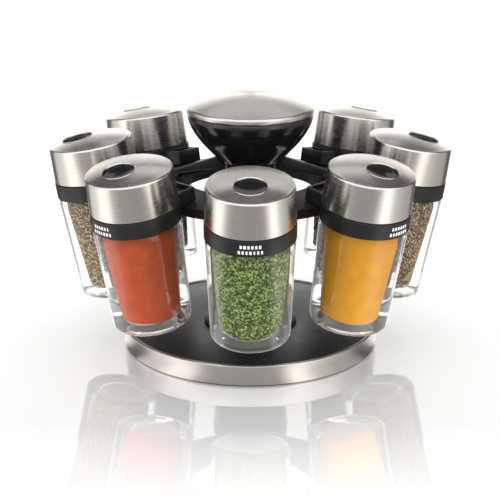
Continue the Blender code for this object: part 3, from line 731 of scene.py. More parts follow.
@dataclass(frozen=True)
class SpiceFinish(Finish):
    """A spice, as powder or as grains that each have a tint of their own."""

    dark: Colour = (0.0, 0.0, 0.0)
    light: Colour = (1.0, 1.0, 1.0)
    fine: float = 2200.0
    broad: float = 200.0
    contrast: float = 0.6
    depth: float = 0.0001
    tinted: bool = False

    def detail(self, bench: Bench, shader: bpy.types.Node) -> None:
        """Adds mottled colour, each grain's tint and a rough surface.

        Args:
            bench: the material's node tree.
            shader: its Principled BSDF.
        """
        place = bench.add("ShaderNodeTexCoord").outputs["Object"]
        tint: object = 0.5
        if self.tinted:
            tint = bench.add("ShaderNodeAttribute", attribute_name="tint").outputs["Fac"]
        group = Groups.use(bench, "mottling", {
            "Place": place, "Fine": self.fine, "Broad": self.broad, "Contrast": self.contrast, "Tint": tint,
            "Dark": (*self.dark, 1), "Middle": (*self.colour, 1), "Light": (*self.light, 1)})
        bench.tree.links.new(group["Colour"], shader.inputs["Base Color"])
        self.bump(bench, shader, group["Height"], self.depth)


STEEL = BrushedSteel("brushed_steel_cap", (0.66, 0.635, 0.60), 0.24, 1.0)
KNOB_STEEL = BrushedSteel("brushed_steel_knob", (0.66, 0.635, 0.60), 0.27, 1.0, lines=7000.0)
RIM_STEEL = BrushedSteel("brushed_steel_rim", (0.60, 0.575, 0.54), 0.30, 1.0, lines=6000.0)
ROD_STEEL = BrushedSteel("turned_steel_rod", (0.55, 0.55, 0.56), 0.25, 1.0, anisotropy=0.0)
SATIN = MouldedPlastic("satin_black_plastic", (0.010, 0.010, 0.012), 0.34, specular=0.34)
PLATE = MouldedPlastic("base_black_plastic", (0.010, 0.010, 0.012), 0.30, specular=0.35, depth=0.000006)
GLOSS = MouldedPlastic("gloss_black_plastic", (0.005, 0.005, 0.007), 0.16, coat=0.12, coat_roughness=0.05,
                       depth=0.000001)
BEARING = MouldedPlastic("bearing_plastic", (0.72, 0.71, 0.67), 0.45)
IRON = MouldedPlastic("cast_iron", (0.10, 0.10, 0.11), 0.6, 1.0, depth=0.00008, grain=1500.0)
RUBBER = MouldedPlastic("black_rubber", (0.02, 0.02, 0.02), 0.8, depth=0.00003)
GLASS = ClearGlass("clear_glass", (0.97, 0.985, 0.985), 0.0, coat=1.0, coat_roughness=0.0)
INK = MouldedPlastic("white_print", (0.85, 0.85, 0.84), 0.5, depth=0.000004)


class Texture(Enum):
    """How a spice lies in its jar."""

    POWDER = "powder"
    FLAKES = "flakes"
    SEEDS = "seeds"


# Rows and columns of a filling's wall, and how far from flat its grains may lie, in radians.
LATTICES = {Texture.POWDER: (96, 200), Texture.FLAKES: (24, 64), Texture.SEEDS: (24, 64)}
TILTS = {Texture.FLAKES: 0.55, Texture.SEEDS: 1.2}


@dataclass(frozen=True)
class Spice:
    """One filling: the name that its finish's name starts with, its finish, and the size and number of its
    grains.
    """

    slot: str
    texture: Texture
    finish: SpiceFinish
    grain: float = 0.0009
    flatness: float = 0.5
    count: int = 0


def spices() -> dict[int, Spice]:
    """The filling of each jar.

    Returns:
        The fillings by their jars' numbers.
    """
    def grains(slot: str, texture: Texture, dark: Colour, middle: Colour, light: Colour, grain: float,
               flatness: float, count: int, contrast: float = 0.35) -> Spice:
        """A filling of separate grains."""
        finish = SpiceFinish(f"{slot}_grains", middle, 0.75, specular=0.25, dark=dark, light=light,
                             fine=1500.0, contrast=contrast, depth=0.00005, tinted=True)
        return Spice(slot, texture, finish, grain, flatness, count)

    def powder(slot: str, dark: Colour, middle: Colour, light: Colour) -> Spice:
        """A fine powder."""
        finish = SpiceFinish(f"{slot}_powder", middle, 0.85, specular=0.25, dark=dark, light=light,
                             fine=3200.0, broad=160.0, contrast=0.55, depth=0.00012)
        return Spice(slot, Texture.POWDER, finish)

    return {
        1: grains("spice_parsley", Texture.FLAKES, (0.012, 0.030, 0.004), (0.115, 0.22, 0.030),
                  (0.50, 0.60, 0.19), 0.00092, 0.3, 8600, 0.7),
        2: powder("spice_turmeric", (0.52, 0.17, 0.002), (0.74, 0.32, 0.003), (0.86, 0.46, 0.012)),
        3: grains("spice_coriander", Texture.SEEDS, (0.05, 0.03, 0.012), (0.33, 0.225, 0.105),
                  (0.72, 0.56, 0.33), 0.00075, 0.6, 6500, 0.65),
        4: grains("spice_oregano", Texture.FLAKES, (0.02, 0.022, 0.006), (0.14, 0.14, 0.045),
                  (0.34, 0.33, 0.15), 0.0010, 0.25, 5200),
        5: grains("spice_pepper", Texture.SEEDS, (0.008, 0.006, 0.004), (0.07, 0.05, 0.035),
                  (0.36, 0.29, 0.20), 0.0009, 0.7, 3200),
        6: grains("spice_thyme", Texture.FLAKES, (0.03, 0.026, 0.008), (0.20, 0.17, 0.06),
                  (0.44, 0.38, 0.19), 0.0010, 0.3, 3600),
        7: grains("spice_mixed_herb", Texture.SEEDS, (0.045, 0.026, 0.010), (0.32, 0.215, 0.095),
                  (0.70, 0.54, 0.31), 0.0008, 0.5, 6500, 0.65),
        8: powder("spice_paprika", (0.26, 0.028, 0.003), (0.47, 0.062, 0.008), (0.64, 0.13, 0.022)),
    }


# ---------------------------------------------------------------- pieces


def show(name: str, mesh: bpy.types.Mesh, finish: Finish, body: str, replaced: Sequence[str]) -> bpy.types.Object:
    """Puts a finished piece on its body.

    Args:
        name: the piece's name.
        mesh: its mesh, in the row's frame.
        finish: what it is made of.
        body: the frame's body that it moves with.
        replaced: the frame's nodes that it stands for.

    Returns:
        The new object.
    """
    mesh.materials.clear()
    mesh.materials.append(finish.make())
    piece = bpy.data.objects.new(name, mesh)
    bpy.context.scene.collection.objects.link(piece)
    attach(piece, body)
    if replaced:
        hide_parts(*replaced)
    log.info("%s: %d faces on body %s", name, len(mesh.polygons), body)
    return piece


@dataclass
class Base:
    """The fixed base: foot ring, tray, steel rim and top plate."""

    radius: float = 0.078
    height: float = 0.013
    rim_wall: float = 0.0012
    rim_lip: float = 0.0022
    rim_edge: float = 0.0008
    lift: float = 0.001
    plate_drop: float = 0.0006
    plate_thickness: float = 0.0025
    tray_floor: float = 0.0028
    tray_wall: float = 0.0029
    bay_radius: float = 0.008
    bay_depth: float = 0.0027
    boss_radius: float = 0.013
    bush_radius: float = 0.009
    flange_radius: float = 0.0115
    foot_inner: float = 0.060
    foot_outer: float = 0.070
    foot_thickness: float = 0.0019
    sides: int = 224

    def build(self) -> None:
        """Builds and places the four pieces."""
        inner = self.radius - self.rim_wall
        lip = self.radius - self.rim_lip
        rim = rounded([(inner, self.lift, 0), (self.radius, self.lift, 0.0003),
                       (self.radius, self.height, self.rim_edge), (lip, self.height, 0.0004),
                       (lip, self.height - self.rim_wall, 0), (inner, self.height - self.rim_wall, 0)])
        self._show("base_rim", rim, RIM_STEEL, "rim_band")

        top = self.height - self.plate_drop
        under = top - self.plate_thickness
        hole, edge = self.flange_radius + 2 * GAP, lip - GAP
        plate = rounded([(hole, under, 0), (edge, under, 0), (edge, top, 0.0005), (hole, top, 0.0003)])
        self._show("base_top", plate, PLATE, "top_plate")

        outer, floor = inner - GAP, self.lift + self.tray_floor
        groove, tray_top = self.foot_thickness + GAP, under - GAP
        bore = self.bush_radius + GAP
        tray = rounded([
            (self.bay_radius, self.lift, 0.0002), (self.foot_inner - GAP, self.lift, 0.0003),
            (self.foot_inner - GAP, groove, 0), (self.foot_outer + GAP, groove, 0),
            (self.foot_outer + GAP, self.lift, 0.0003), (outer, self.lift, 0.0004), (outer, tray_top, 0.0003),
            (outer - self.tray_wall, tray_top, 0.0003), (outer - self.tray_wall, floor, 0.0008),
            (self.boss_radius, floor, 0.0008), (self.boss_radius, tray_top, 0.0003), (bore, tray_top, 0.0002),
            (bore, self.lift + self.bay_depth, 0), (self.bay_radius, self.lift + self.bay_depth, 0)], steps=3)
        self._show("base_body", tray, SATIN, "base_tray")

        near, far, thick = self.foot_inner, self.foot_outer, self.foot_thickness
        foot = rounded([(near, 0, 0.0004), (far, 0, 0.0004), (far, thick, 0.0002), (near, thick, 0.0002)],
                       steps=3)
        self._show("base_foot", foot, RUBBER, "foot_ring")

    def _show(self, name: str, outline: Sequence[Point], finish: Finish, node: str) -> None:
        """Turns an outline and puts it on the base."""
        show(name, turned(name, outline, self.sides), finish, "base", [node])


@dataclass
class JarSizes:
    """Sizes of a jar in its own frame, and of the lug and tongue that carry it."""

    glass_radius: float = 0.0254
    glass_foot_radius: float = 0.0228
    glass_height: float = 0.0626
    foot_edge: float = 0.0040
    shoulder: float = 0.0014
    floor: float = 0.0036
    wall: float = 0.0066
    foot_wall: float = 0.0086
    neck_radius: float = 0.0215
    neck_height: float = 0.0234
    collar_radius: float = 0.0258
    collar_height: float = 0.0096
    snap_wall: float = 0.0021
    snap_height: float = 0.003
    cap_radius: float = 0.0255
    cap_top_radius: float = 0.02495
    cap_skirt: float = 0.0200
    cap_wall: float = 0.0009
    cap_edge: float = 0.0014
    cap_crown: float = 0.0032
    aperture_radius: float = 0.009
    aperture_offset: float = 0.0072
    bead_width: float = 0.0009
    bead_height: float = 0.0002
    dish_radius: float = 0.0080
    dish_depth: float = 0.0018
    sprinkle_count: int = 5
    sprinkle_radius: float = 0.0012
    sprinkle_spread: float = 0.0031
    sifter_wall: float = 0.0033
    sifter_skirt: float = 0.0043
    headroom: float = 0.020
    contact: float = 0.00012
    pressed: float = 0.0006
    lug_width: float = 0.017
    lug_depth: float = 0.013
    lug_height: float = 0.0086
    lug_wall: float = 0.0017
    tongue_clearance: float = 0.0004
    tongue_height: float = 0.0063
    tongue_outer_wall: float = 0.0034

    @property
    def collar_foot(self) -> float:
        """Height of the collar's lower edge."""
        return self.glass_height + GAP

    @property
    def collar_top(self) -> float:
        """Height of the collar's upper edge."""
        return self.collar_foot + self.collar_height

    @property
    def cap_foot(self) -> float:
        """Height of the cap's lower edge."""
        return self.collar_top + SEAT_GAP

    @property
    def cap_shoulder(self) -> float:
        """Height at which the cap's side ends."""
        return self.cap_foot + self.cap_skirt

    @property
    def neck_top(self) -> float:
        """Height of the glass's rim."""
        return self.glass_height + self.neck_height

    @property
    def cavity(self) -> float:
        """Radius of the cavity under the neck."""
        return self.glass_radius - self.wall

    @property
    def cavity_foot(self) -> float:
        """Radius of the cavity at its floor."""
        return self.glass_foot_radius - self.foot_wall

    @property
    def pocket(self) -> tuple[float, float]:
        """Where the lug's pocket begins and ends, from the jar's axis towards the column."""
        lug_end = self.collar_radius + self.lug_depth
        return self.collar_radius + self.tongue_outer_wall, lug_end - self.lug_wall

    def crown(self, radius: float, drop: float = 0.0) -> float:
        """Height of the cap's crown at a radius, or of a crown set `drop` inside it."""
        return crown_height(radius, self.cap_top_radius - self.cap_edge - drop,
                            self.cap_shoulder + self.cap_edge - drop, self.cap_crown)

    def cavity_radius(self, height: float) -> float:
        """Radius of the cavity at a height."""
        share = (height - self.floor) / (self.glass_height - self.floor)
        return self.cavity_foot + (self.cavity - self.cavity_foot) * min(max(share, 0.0), 1.0)


GRAIN_LENGTHS = (0.55, 1.35)  # shares of a filling's grain size
GRAIN_WIDTHS = (0.45, 0.9)  # shares of a grain's length
WIDTH_SEED, TINT_SEED = 7, 21
LETTER_WIDTHS = (0.55, 1.0)  # shares of a label's block width
MEAN_FILLING_RADIUS = 0.0165  # turns a number of grains into a density


@lru_cache(maxsize=None)
def grain_tree() -> bpy.types.NodeTree:
    """Geometry nodes that press grains of a spice against the wall of its jar.

    Returns:
        The group, made once.
    """
    tree, bench = node_group(
        "spice_grains", GEOMETRY,
        [("Geometry", SHAPE, None), ("Density", FLOAT, 8e5), ("Grain Size", FLOAT, 0.001),
         ("Flatness", FLOAT, 0.5), ("Tilt", FLOAT, 0.6), ("Seed", WHOLE, 1), ("Material", MATERIAL, None)],
        [("Geometry", SHAPE)])
    given = bench.add("NodeGroupInput").outputs
    points = bench.add("GeometryNodeDistributePointsOnFaces",
                       {"Mesh": given["Geometry"], "Density": given["Density"], "Seed": given["Seed"]})
    grain = bench.add("GeometryNodeMeshIcoSphere", {"Radius": 1.0, "Subdivisions": 1}).outputs["Mesh"]
    tilt = given["Tilt"]
    back = bench.maths("MULTIPLY", tilt, -1.0)
    wobble = bench.add("FunctionNodeRandomValue", {0: bench.point(back, back, -math.pi),
                                                   1: bench.point(tilt, tilt, math.pi),
                                                   "Seed": given["Seed"]}, data_type="FLOAT_VECTOR")
    euler = bench.add("FunctionNodeEulerToRotation", {0: wobble.outputs[0]})
    turn = bench.add("FunctionNodeRotateRotation", {0: points.outputs["Rotation"], 1: euler.outputs[0]},
                     rotation_space="LOCAL")
    smallest, largest = (bench.maths("MULTIPLY", given["Grain Size"], share) for share in GRAIN_LENGTHS)
    length = bench.add("FunctionNodeRandomValue", {2: smallest, 3: largest}, data_type="FLOAT").outputs[1]
    slimness = bench.add("FunctionNodeRandomValue", {2: GRAIN_WIDTHS[0], 3: GRAIN_WIDTHS[1],
                                                     "Seed": WIDTH_SEED}, data_type="FLOAT").outputs[1]
    broad = bench.maths("MULTIPLY", length, slimness)
    thick = bench.maths("MULTIPLY", length, given["Flatness"])
    placed = bench.add("GeometryNodeInstanceOnPoints", {
        "Points": points.outputs["Points"], "Instance": grain, "Rotation": turn.outputs[0],
        "Scale": bench.point(length, broad, thick)})
    tint = bench.add("FunctionNodeRandomValue", {"Seed": TINT_SEED}, data_type="FLOAT")
    stored = bench.add("GeometryNodeStoreNamedAttribute", {"Geometry": placed.outputs[0], "Name": "tint",
                                                           "Value": tint.outputs[1]},
                       data_type="FLOAT", domain="INSTANCE")
    joined = bench.add("GeometryNodeJoinGeometry")
    tree.links.new(given["Geometry"], joined.inputs[0])
    tree.links.new(stored.outputs[0], joined.inputs[0])
    finish_tree(bench, joined.outputs[0], given["Material"])
    return tree


@lru_cache(maxsize=None)
def label_tree() -> bpy.types.NodeTree:
    """Geometry nodes that set a row of small print blocks of differing widths.

    Returns:
        The group, made once.
    """
    tree, bench = node_group(
        "label_row", GEOMETRY,
        [("Blocks", WHOLE, 6), ("Pitch", FLOAT, 0.0019), ("Block Width", FLOAT, 0.0015),
         ("Block Height", FLOAT, 0.0016), ("Thickness", FLOAT, 0.00006), ("Seed", WHOLE, 1),
         ("Material", MATERIAL, None)],
        [("Geometry", SHAPE)])
    given = bench.add("NodeGroupInput").outputs
    step = bench.point(given["Pitch"])
    line = bench.add("GeometryNodeMeshLine", {"Count": given["Blocks"], "Offset": step})
    size = bench.point(given["Block Width"], given["Thickness"], given["Block Height"])
    cube = bench.add("GeometryNodeMeshCube", {"Size": size, "Vertices X": 3, "Vertices Y": 2,
                                              "Vertices Z": 2})
    width = bench.add("FunctionNodeRandomValue", {2: LETTER_WIDTHS[0], 3: LETTER_WIDTHS[1],
                                                  "Seed": given["Seed"]}, data_type="FLOAT")
    placed = bench.add("GeometryNodeInstanceOnPoints", {
        "Points": line.outputs[0], "Instance": cube.outputs[0],
        "Scale": bench.point(width.outputs[1], 1.0, 1.0)})
    finish_tree(bench, placed.outputs[0], given["Material"])
    return tree


def finish_tree(bench: Bench, shape: bpy.types.NodeSocket, material: bpy.types.NodeSocket) -> None:
    """Ends a geometry node tree: makes its instances real and gives them their material.

    Args:
        bench: the tree.
        shape: what the tree has made.
        material: the material for it.
    """
    real = bench.add("GeometryNodeRealizeInstances", {0: shape})
    dressed = bench.add("GeometryNodeSetMaterial", {"Geometry": real.outputs[0], "Material": material})
    bench.add("NodeGroupOutput", {0: dressed.outputs[0]})


def grown(mesh: bpy.types.Mesh, tree: bpy.types.NodeTree, values: dict[str, object]) -> bpy.types.Mesh:
    """The plain mesh that a geometry node tree makes.

    Args:
        mesh: the mesh that goes into the tree.
        tree: the tree.
        values: input name to value.

    Returns:
        The new mesh.
    """
    carrier = bpy.data.objects.new("bench_carrier", mesh)
    bpy.context.scene.collection.objects.link(carrier)
    modifier = carrier.modifiers.new("grow", "NODES")
    modifier.node_group = tree
    sockets = {s.name: s.identifier for s in tree.interface.items_tree if s.in_out == "INPUT"}
    for name, value in values.items():
        modifier[sockets[name]] = value
    graph = bpy.context.evaluated_depsgraph_get()
    result = bpy.data.meshes.new_from_object(carrier.evaluated_get(graph))
    carrier.modifiers.remove(modifier)
    bpy.data.objects.remove(carrier)
    return result


def coordinates(mesh: bpy.types.Mesh) -> np.ndarray:
    """A mesh's points.

    Args:
        mesh: the mesh.

    Returns:
        An array of one row for each point.
    """
    found = np.empty(len(mesh.vertices) * 3, np.float32)
    mesh.vertices.foreach_get("co", found)
    return found.reshape(-1, 3)


@dataclass
class JarMeshes:
    """The meshes that all jars share, in a jar's own frame."""

    sizes: JarSizes = field(default_factory=JarSizes)
    sides: int = 120
    label_rows: tuple[tuple[int, float], ...] = ((6, 0.0062), (7, 0.0029))  # blocks, and height on the collar
    label_pitch: float = 0.0021
    label_width: float = 0.0014
    label_height: float = 0.0019
    label_thickness: float = 0.00008
    label_lift: float = 0.00001
    heap: float = 0.0015  # how much higher a filling lies in the middle
    heap_top: float = 0.0018
    foot_rounding: float = 0.0016
    coarse: float = 420.0  # unevenness of a filling's wall, in swings to the metre
    fine: float = 1100.0
    fine_share: float = 0.6
    least_push: float = 0.8
    untouched: float = 0.004

    def glass(self) -> bpy.types.Mesh:
        """The thick tapering glass with its neck.

        Returns:
            The mesh.
        """
        s = self.sizes
        outline = rounded([
            (0, 0.0006, 0), (s.glass_foot_radius - 1.8 * s.foot_edge, 0.0004, 0.002),
            (s.glass_foot_radius - 1.2 * s.foot_edge, 0, 0.0015),
            (s.glass_foot_radius, 0, s.foot_edge), (s.glass_radius, s.glass_height - 2 * s.shoulder, 0.004),
            (s.glass_radius - s.shoulder / 2, s.glass_height, 0.0006),
            (s.neck_radius, s.glass_height, 0.0003), (s.neck_radius, s.neck_top, 0.0008),
            (s.cavity, s.neck_top, 0.0008), (s.cavity, s.glass_height, 0.006),
            (s.cavity_foot, s.floor, 0.0022), (0, s.floor + 0.0003, 0)], closed=False, steps=8)
        return turned("glass", outline, self.sides, sharp=60)

    def collar(self) -> bpy.types.Mesh:
        """The band with its snap rim and its hollow lug.

        Returns:
            The mesh.
        """
        s = self.sizes
        bore = s.neck_radius + GAP
        snap = bore + s.snap_wall
        band = turned("collar", rounded([
            (bore, s.collar_foot, 0), (s.collar_radius, s.collar_foot, 0.0005),
            (s.collar_radius, s.collar_top, 0.0005), (snap, s.collar_top, 0),
            (snap, s.collar_top + s.snap_height, 0.0004), (bore, s.collar_top + s.snap_height, 0.0003)],
            steps=4), self.sides)
        root, reach = (bore + s.collar_radius) / 2, s.collar_radius + s.lug_depth
        low, top = s.glass_height, s.glass_height + s.lug_height
        lug = block("lug", [(root, low), (reach, low), (reach, top), (root, top)], s.lug_width, 0.0005)
        near, far = s.pocket
        under, above = low - s.lug_wall, top + s.lug_wall
        pocket = block("pocket", [(near, under), (far, under), (far, above), (near, above)],
                       s.lug_width - 2 * s.lug_wall, 0.0003)
        return combined(combined(band, [lug], Cut.JOIN), [pocket], Cut.TAKE, sharp=32)

    def cap(self) -> bpy.types.Mesh:
        """The steel cap, whose round aperture has a small bead round it.

        Returns:
            The mesh.
        """
        s = self.sizes
        foot, shoulder, count = s.cap_foot, s.cap_shoulder, self.sides
        rim = s.cap_top_radius - s.cap_edge
        side = rounded([(s.cap_radius - s.cap_wall, foot, 0), (s.cap_radius, foot, 0.00035),
                        (s.cap_top_radius, shoulder, 0.02), (s.cap_top_radius, shoulder + 0.0002, 0)],
                       closed=False, steps=4)
        loops = [ring(r, z, count) for r, z in side]
        for k in range(1, 8):
            turn = math.radians(90 * k / 8)
            out, up = s.cap_edge * math.cos(turn), s.cap_edge * math.sin(turn)
            loops.append(ring(rim + out, shoulder + up, count))
        loops += self._across(rim, s.aperture_radius + s.bead_width, 0.0, range(0, 11))
        for share, lift in ((0.75, 1.0), (0.35, 1.0), (0.0, -1.2), (0.0, -s.cap_wall / s.bead_height)):
            loops.append(self._hole(s.aperture_radius + share * s.bead_width, lift * s.bead_height))
        inner = rim - s.cap_wall
        loops += list(reversed(self._across(inner, s.aperture_radius + GAP, s.cap_wall, range(0, 6))))
        loops += [ring(s.cap_top_radius - s.cap_wall, shoulder, count)]
        return skinned("cap", loops, closed=True, sharp=30)

    def _hole(self, radius: float, lift: float) -> np.ndarray:
        """A loop round the aperture that follows the crown.

        Args:
            radius: its radius about the aperture's centre.
            lift: how far it is raised above the crown.

        Returns:
            The loop's points.
        """
        s = self.sizes
        loop = ring(radius, 0.0, self.sides, s.aperture_offset)
        loop[:, 2] = [s.crown(math.hypot(x, y)) + lift for x, y in loop[:, :2]]
        return loop

    def _across(self, rim: float, hole: float, drop: float, steps: range) -> list[np.ndarray]:
        """Loops that pass over the crown from its rim to the edge of the off-centre hole.

        Args:
            rim: radius of the first loop.
            hole: radius of the last loop, about the hole's centre.
            drop: how far below the crown they lie.
            steps: the numbers of the loops.

        Returns:
            The loops' points.
        """
        s = self.sizes
        outer, inner = ring(rim, 0.0, self.sides), ring(hole, 0.0, self.sides, s.aperture_offset)
        loops = []
        for k in steps:
            loop = outer + (inner - outer) * (k / (len(steps) - 1))
            loop[:, 2] = [s.crown(math.hypot(x, y), drop) for x, y in loop[:, :2]]
            loops.append(loop)
        return loops

    def sifter(self) -> bpy.types.Mesh:
        """The black plug under the cap, with its blank dish and its sprinkling holes.

        Returns:
            The mesh.
        """
        s = self.sizes
        drop = s.cap_wall + SEAT_GAP
        rim = s.cap_top_radius - s.cap_edge - drop
        dish_rim = s.dish_radius
        loops = self._across(rim, dish_rim + 0.0005, drop, range(0, 9))
        ball = (dish_rim**2 + s.dish_depth**2) / (2 * s.dish_depth)
        for k in range(10, 0, -1):
            radius = dish_rim * k / 10
            sink = s.dish_depth - (ball - math.sqrt(ball**2 - radius**2))
            loop = ring(radius, 0.0, self.sides, s.aperture_offset)
            loop[:, 2] = [s.crown(math.hypot(x, y), drop) - sink - 0.0001 for x, y in loop[:, :2]]
            loops.append(loop)
        bottom = s.crown(s.aperture_offset, drop) - s.dish_depth - 0.0001
        loops.append(np.array([[0.0, -s.aperture_offset, bottom]]))
        loops.reverse()
        edge = s.crown(rim, drop)
        side, plug = rim + GAP, s.cavity - GAP
        inner = plug - 6 * GAP
        skirt = rounded([
            (side, edge, 0.0002), (side, s.neck_top + GAP, 0.0003), (plug, s.neck_top + GAP, 0),
            (plug, s.neck_top - s.sifter_skirt, 0.0004), (inner, s.neck_top - s.sifter_skirt, 0.0004),
            (inner, edge - s.sifter_wall / 2, 0.0005),
            (0, edge - s.sifter_wall / 2 + s.cap_crown / 2, 0)], closed=False, steps=3)
        loops += [ring(r, z, self.sides) for r, z in skirt[:-1]] + [np.array([[0, 0, skirt[-1][1]]])]
        body = skinned("sifter", loops, closed=False, sharp=45)
        holes = []
        for k in range(s.sprinkle_count):
            turn = Matrix.Rotation(math.tau * k / s.sprinkle_count, 4, "Z")
            out = Matrix.Translation((0, -s.sprinkle_spread, 0))
            place = Matrix.Translation((0, s.aperture_offset, 0)) @ turn @ out
            pin = turned("pin", [(0, s.neck_top), (s.sprinkle_radius, s.neck_top),
                                 (s.sprinkle_radius, s.crown(0) + 0.002), (0, s.crown(0) + 0.002)], 24)
            holes.append(moved(pin, place))
        return combined(body, holes, Cut.TAKE, sharp=45)

    def filling(self, spice: Spice, seed: int) -> bpy.types.Mesh:
        """A spice as it lies against the glass: a rough body, and its grains pressed flat on the wall.

        Args:
            spice: the filling.
            seed: the jar's number, which makes its filling differ from the others.

        Returns:
            The mesh.
        """
        s = self.sizes
        top = s.neck_top - s.headroom
        rows, count = LATTICES[spice.texture]
        low = s.floor + GAP
        loops = [np.array([[0.0, 0.0, low]])]
        for share in (0.3, 0.6, 0.85):
            loops.append(ring((s.cavity_foot + s.contact) * share, low, count))
        for k in range(rows + 1):
            height = low + (top - low) * k / rows
            rounding = self.foot_rounding * max(0.0, 1 - (height - low) / self.foot_rounding) ** 2
            loops.append(ring(s.cavity_radius(height) + s.contact - rounding, height, count))
        for share in (0.8, 0.5, 0.2):
            loops.append(ring((s.cavity + s.contact) * share, top + self.heap * (1 - share), count))
        loops.append(np.array([[0.0, 0.0, top + self.heap_top]]))
        mesh = skinned("filling", loops, closed=False, sharp=80)
        self._roughen(mesh, 0.4 * s.contact, seed)
        if spice.count:
            area = math.tau * MEAN_FILLING_RADIUS * (top - low)
            mesh = grown(mesh, grain_tree(), {
                "Density": spice.count / area, "Grain Size": spice.grain, "Flatness": spice.flatness,
                "Tilt": TILTS[spice.texture], "Seed": seed,
                "Material": spice.finish.make()})
            self._press(mesh)
            mesh.shade_smooth()
        return mesh

    def _roughen(self, mesh: bpy.types.Mesh, depth: float, seed: int) -> None:
        """Pushes a filling's wall in by a little at random.

        Args:
            mesh: the filling.
            depth: how far the wall goes in, more or less.
            seed: the jar's number.
        """
        points = coordinates(mesh)
        shift = Vector((seed * 3.1, seed * 1.7, 0.0))
        for row in points:
            place = Vector(row.tolist())
            value = noise.noise(place * self.coarse + shift)
            value += self.fine_share * noise.noise(place * self.fine + shift)
            radius = math.hypot(row[0], row[1])
            if radius > self.untouched:
                factor = 1 - depth * (self.least_push + value) / radius
                row[0] *= factor
                row[1] *= factor
        mesh.vertices.foreach_set("co", points.ravel())
        mesh.update()

    def _press(self, mesh: bpy.types.Mesh) -> None:
        """Holds every grain inside the cavity, flat against its wall.

        Args:
            mesh: the filling.
        """
        s = self.sizes
        points = coordinates(mesh)
        share = np.clip((points[:, 2] - s.floor) / (s.glass_height - s.floor), 0, 1)
        limit = s.cavity_foot + (s.cavity - s.cavity_foot) * share + s.pressed
        radius = np.hypot(points[:, 0], points[:, 1])
        factor = np.minimum(1.0, limit / np.maximum(radius, ON_AXIS))
        points[:, 0] *= factor
        points[:, 1] *= factor
        points[:, 2] = np.maximum(points[:, 2], s.floor + GAP / 2)
        mesh.vertices.foreach_set("co", points.ravel())
        mesh.update()

    def label(self, seed: int) -> bpy.types.Mesh:
        """Two rows of plain print blocks, laid round the outward side of the collar.

        Args:
            seed: the jar's number, which makes its blocks differ from the others.

        Returns:
            The mesh.
        """
        s = self.sizes
        bm = bmesh.new()
        for row, (blocks, lift) in enumerate(self.label_rows):
            flat = grown(bpy.data.meshes.new("row"), label_tree(), {
                "Blocks": blocks, "Pitch": self.label_pitch, "Block Width": self.label_width,
                "Block Height": self.label_height, "Thickness": self.label_thickness, "Seed": seed * 5 + row,
                "Material": INK.make()})
            points = coordinates(flat)
            turn = (points[:, 0] - self.label_pitch * (blocks - 1) / 2) / s.collar_radius
            radius = s.collar_radius + self.label_lift - points[:, 1]
            height = points[:, 2] + s.collar_foot + lift
            bent = np.stack([radius * np.sin(turn), -radius * np.cos(turn), height], 1)
            flat.vertices.foreach_set("co", bent.astype(np.float32).ravel())
            bm.from_mesh(flat)
        mesh = bpy.data.meshes.new("label")
        bm.to_mesh(mesh)
        bm.free()
        return mesh


@dataclass
class Jar:
    """One jar in its place: glass, filling, collar with label, sifter and cap."""

    number: int
    frame: Matrix
    spice: Spice
    meshes: JarMeshes
    shared: dict[str, bpy.types.Mesh]

    def build(self) -> None:
        """Places the jar's pieces on their two bodies."""
        n, jar, cap = self.number, f"jar_{self.number}", f"cap_{self.number}"
        for name, finish, body, node, slot in (
                ("glass", GLASS, jar, "glass_jar", "clear_glass"),
                ("collar", SATIN, jar, "collar", "satin_black"),
                ("sifter", GLOSS, jar, "sifter", "gloss_black"),
                ("cap", STEEL, cap, "steel_cap", "brushed_steel")):
            label = f"jar_{name}_{n}"
            show(label, moved(self.shared[name], self.frame, label), finish, body, [f"{node}_{n}"])
        filling = self.meshes.filling(self.spice, n)
        filling.transform(self.frame)
        show(f"jar_filling_{n}", filling, self.spice.finish, jar, [f"spice_{n}"])
        label = self.meshes.label(n)
        label.transform(self.frame)
        show(f"jar_label_{n}", label, INK, jar, [])


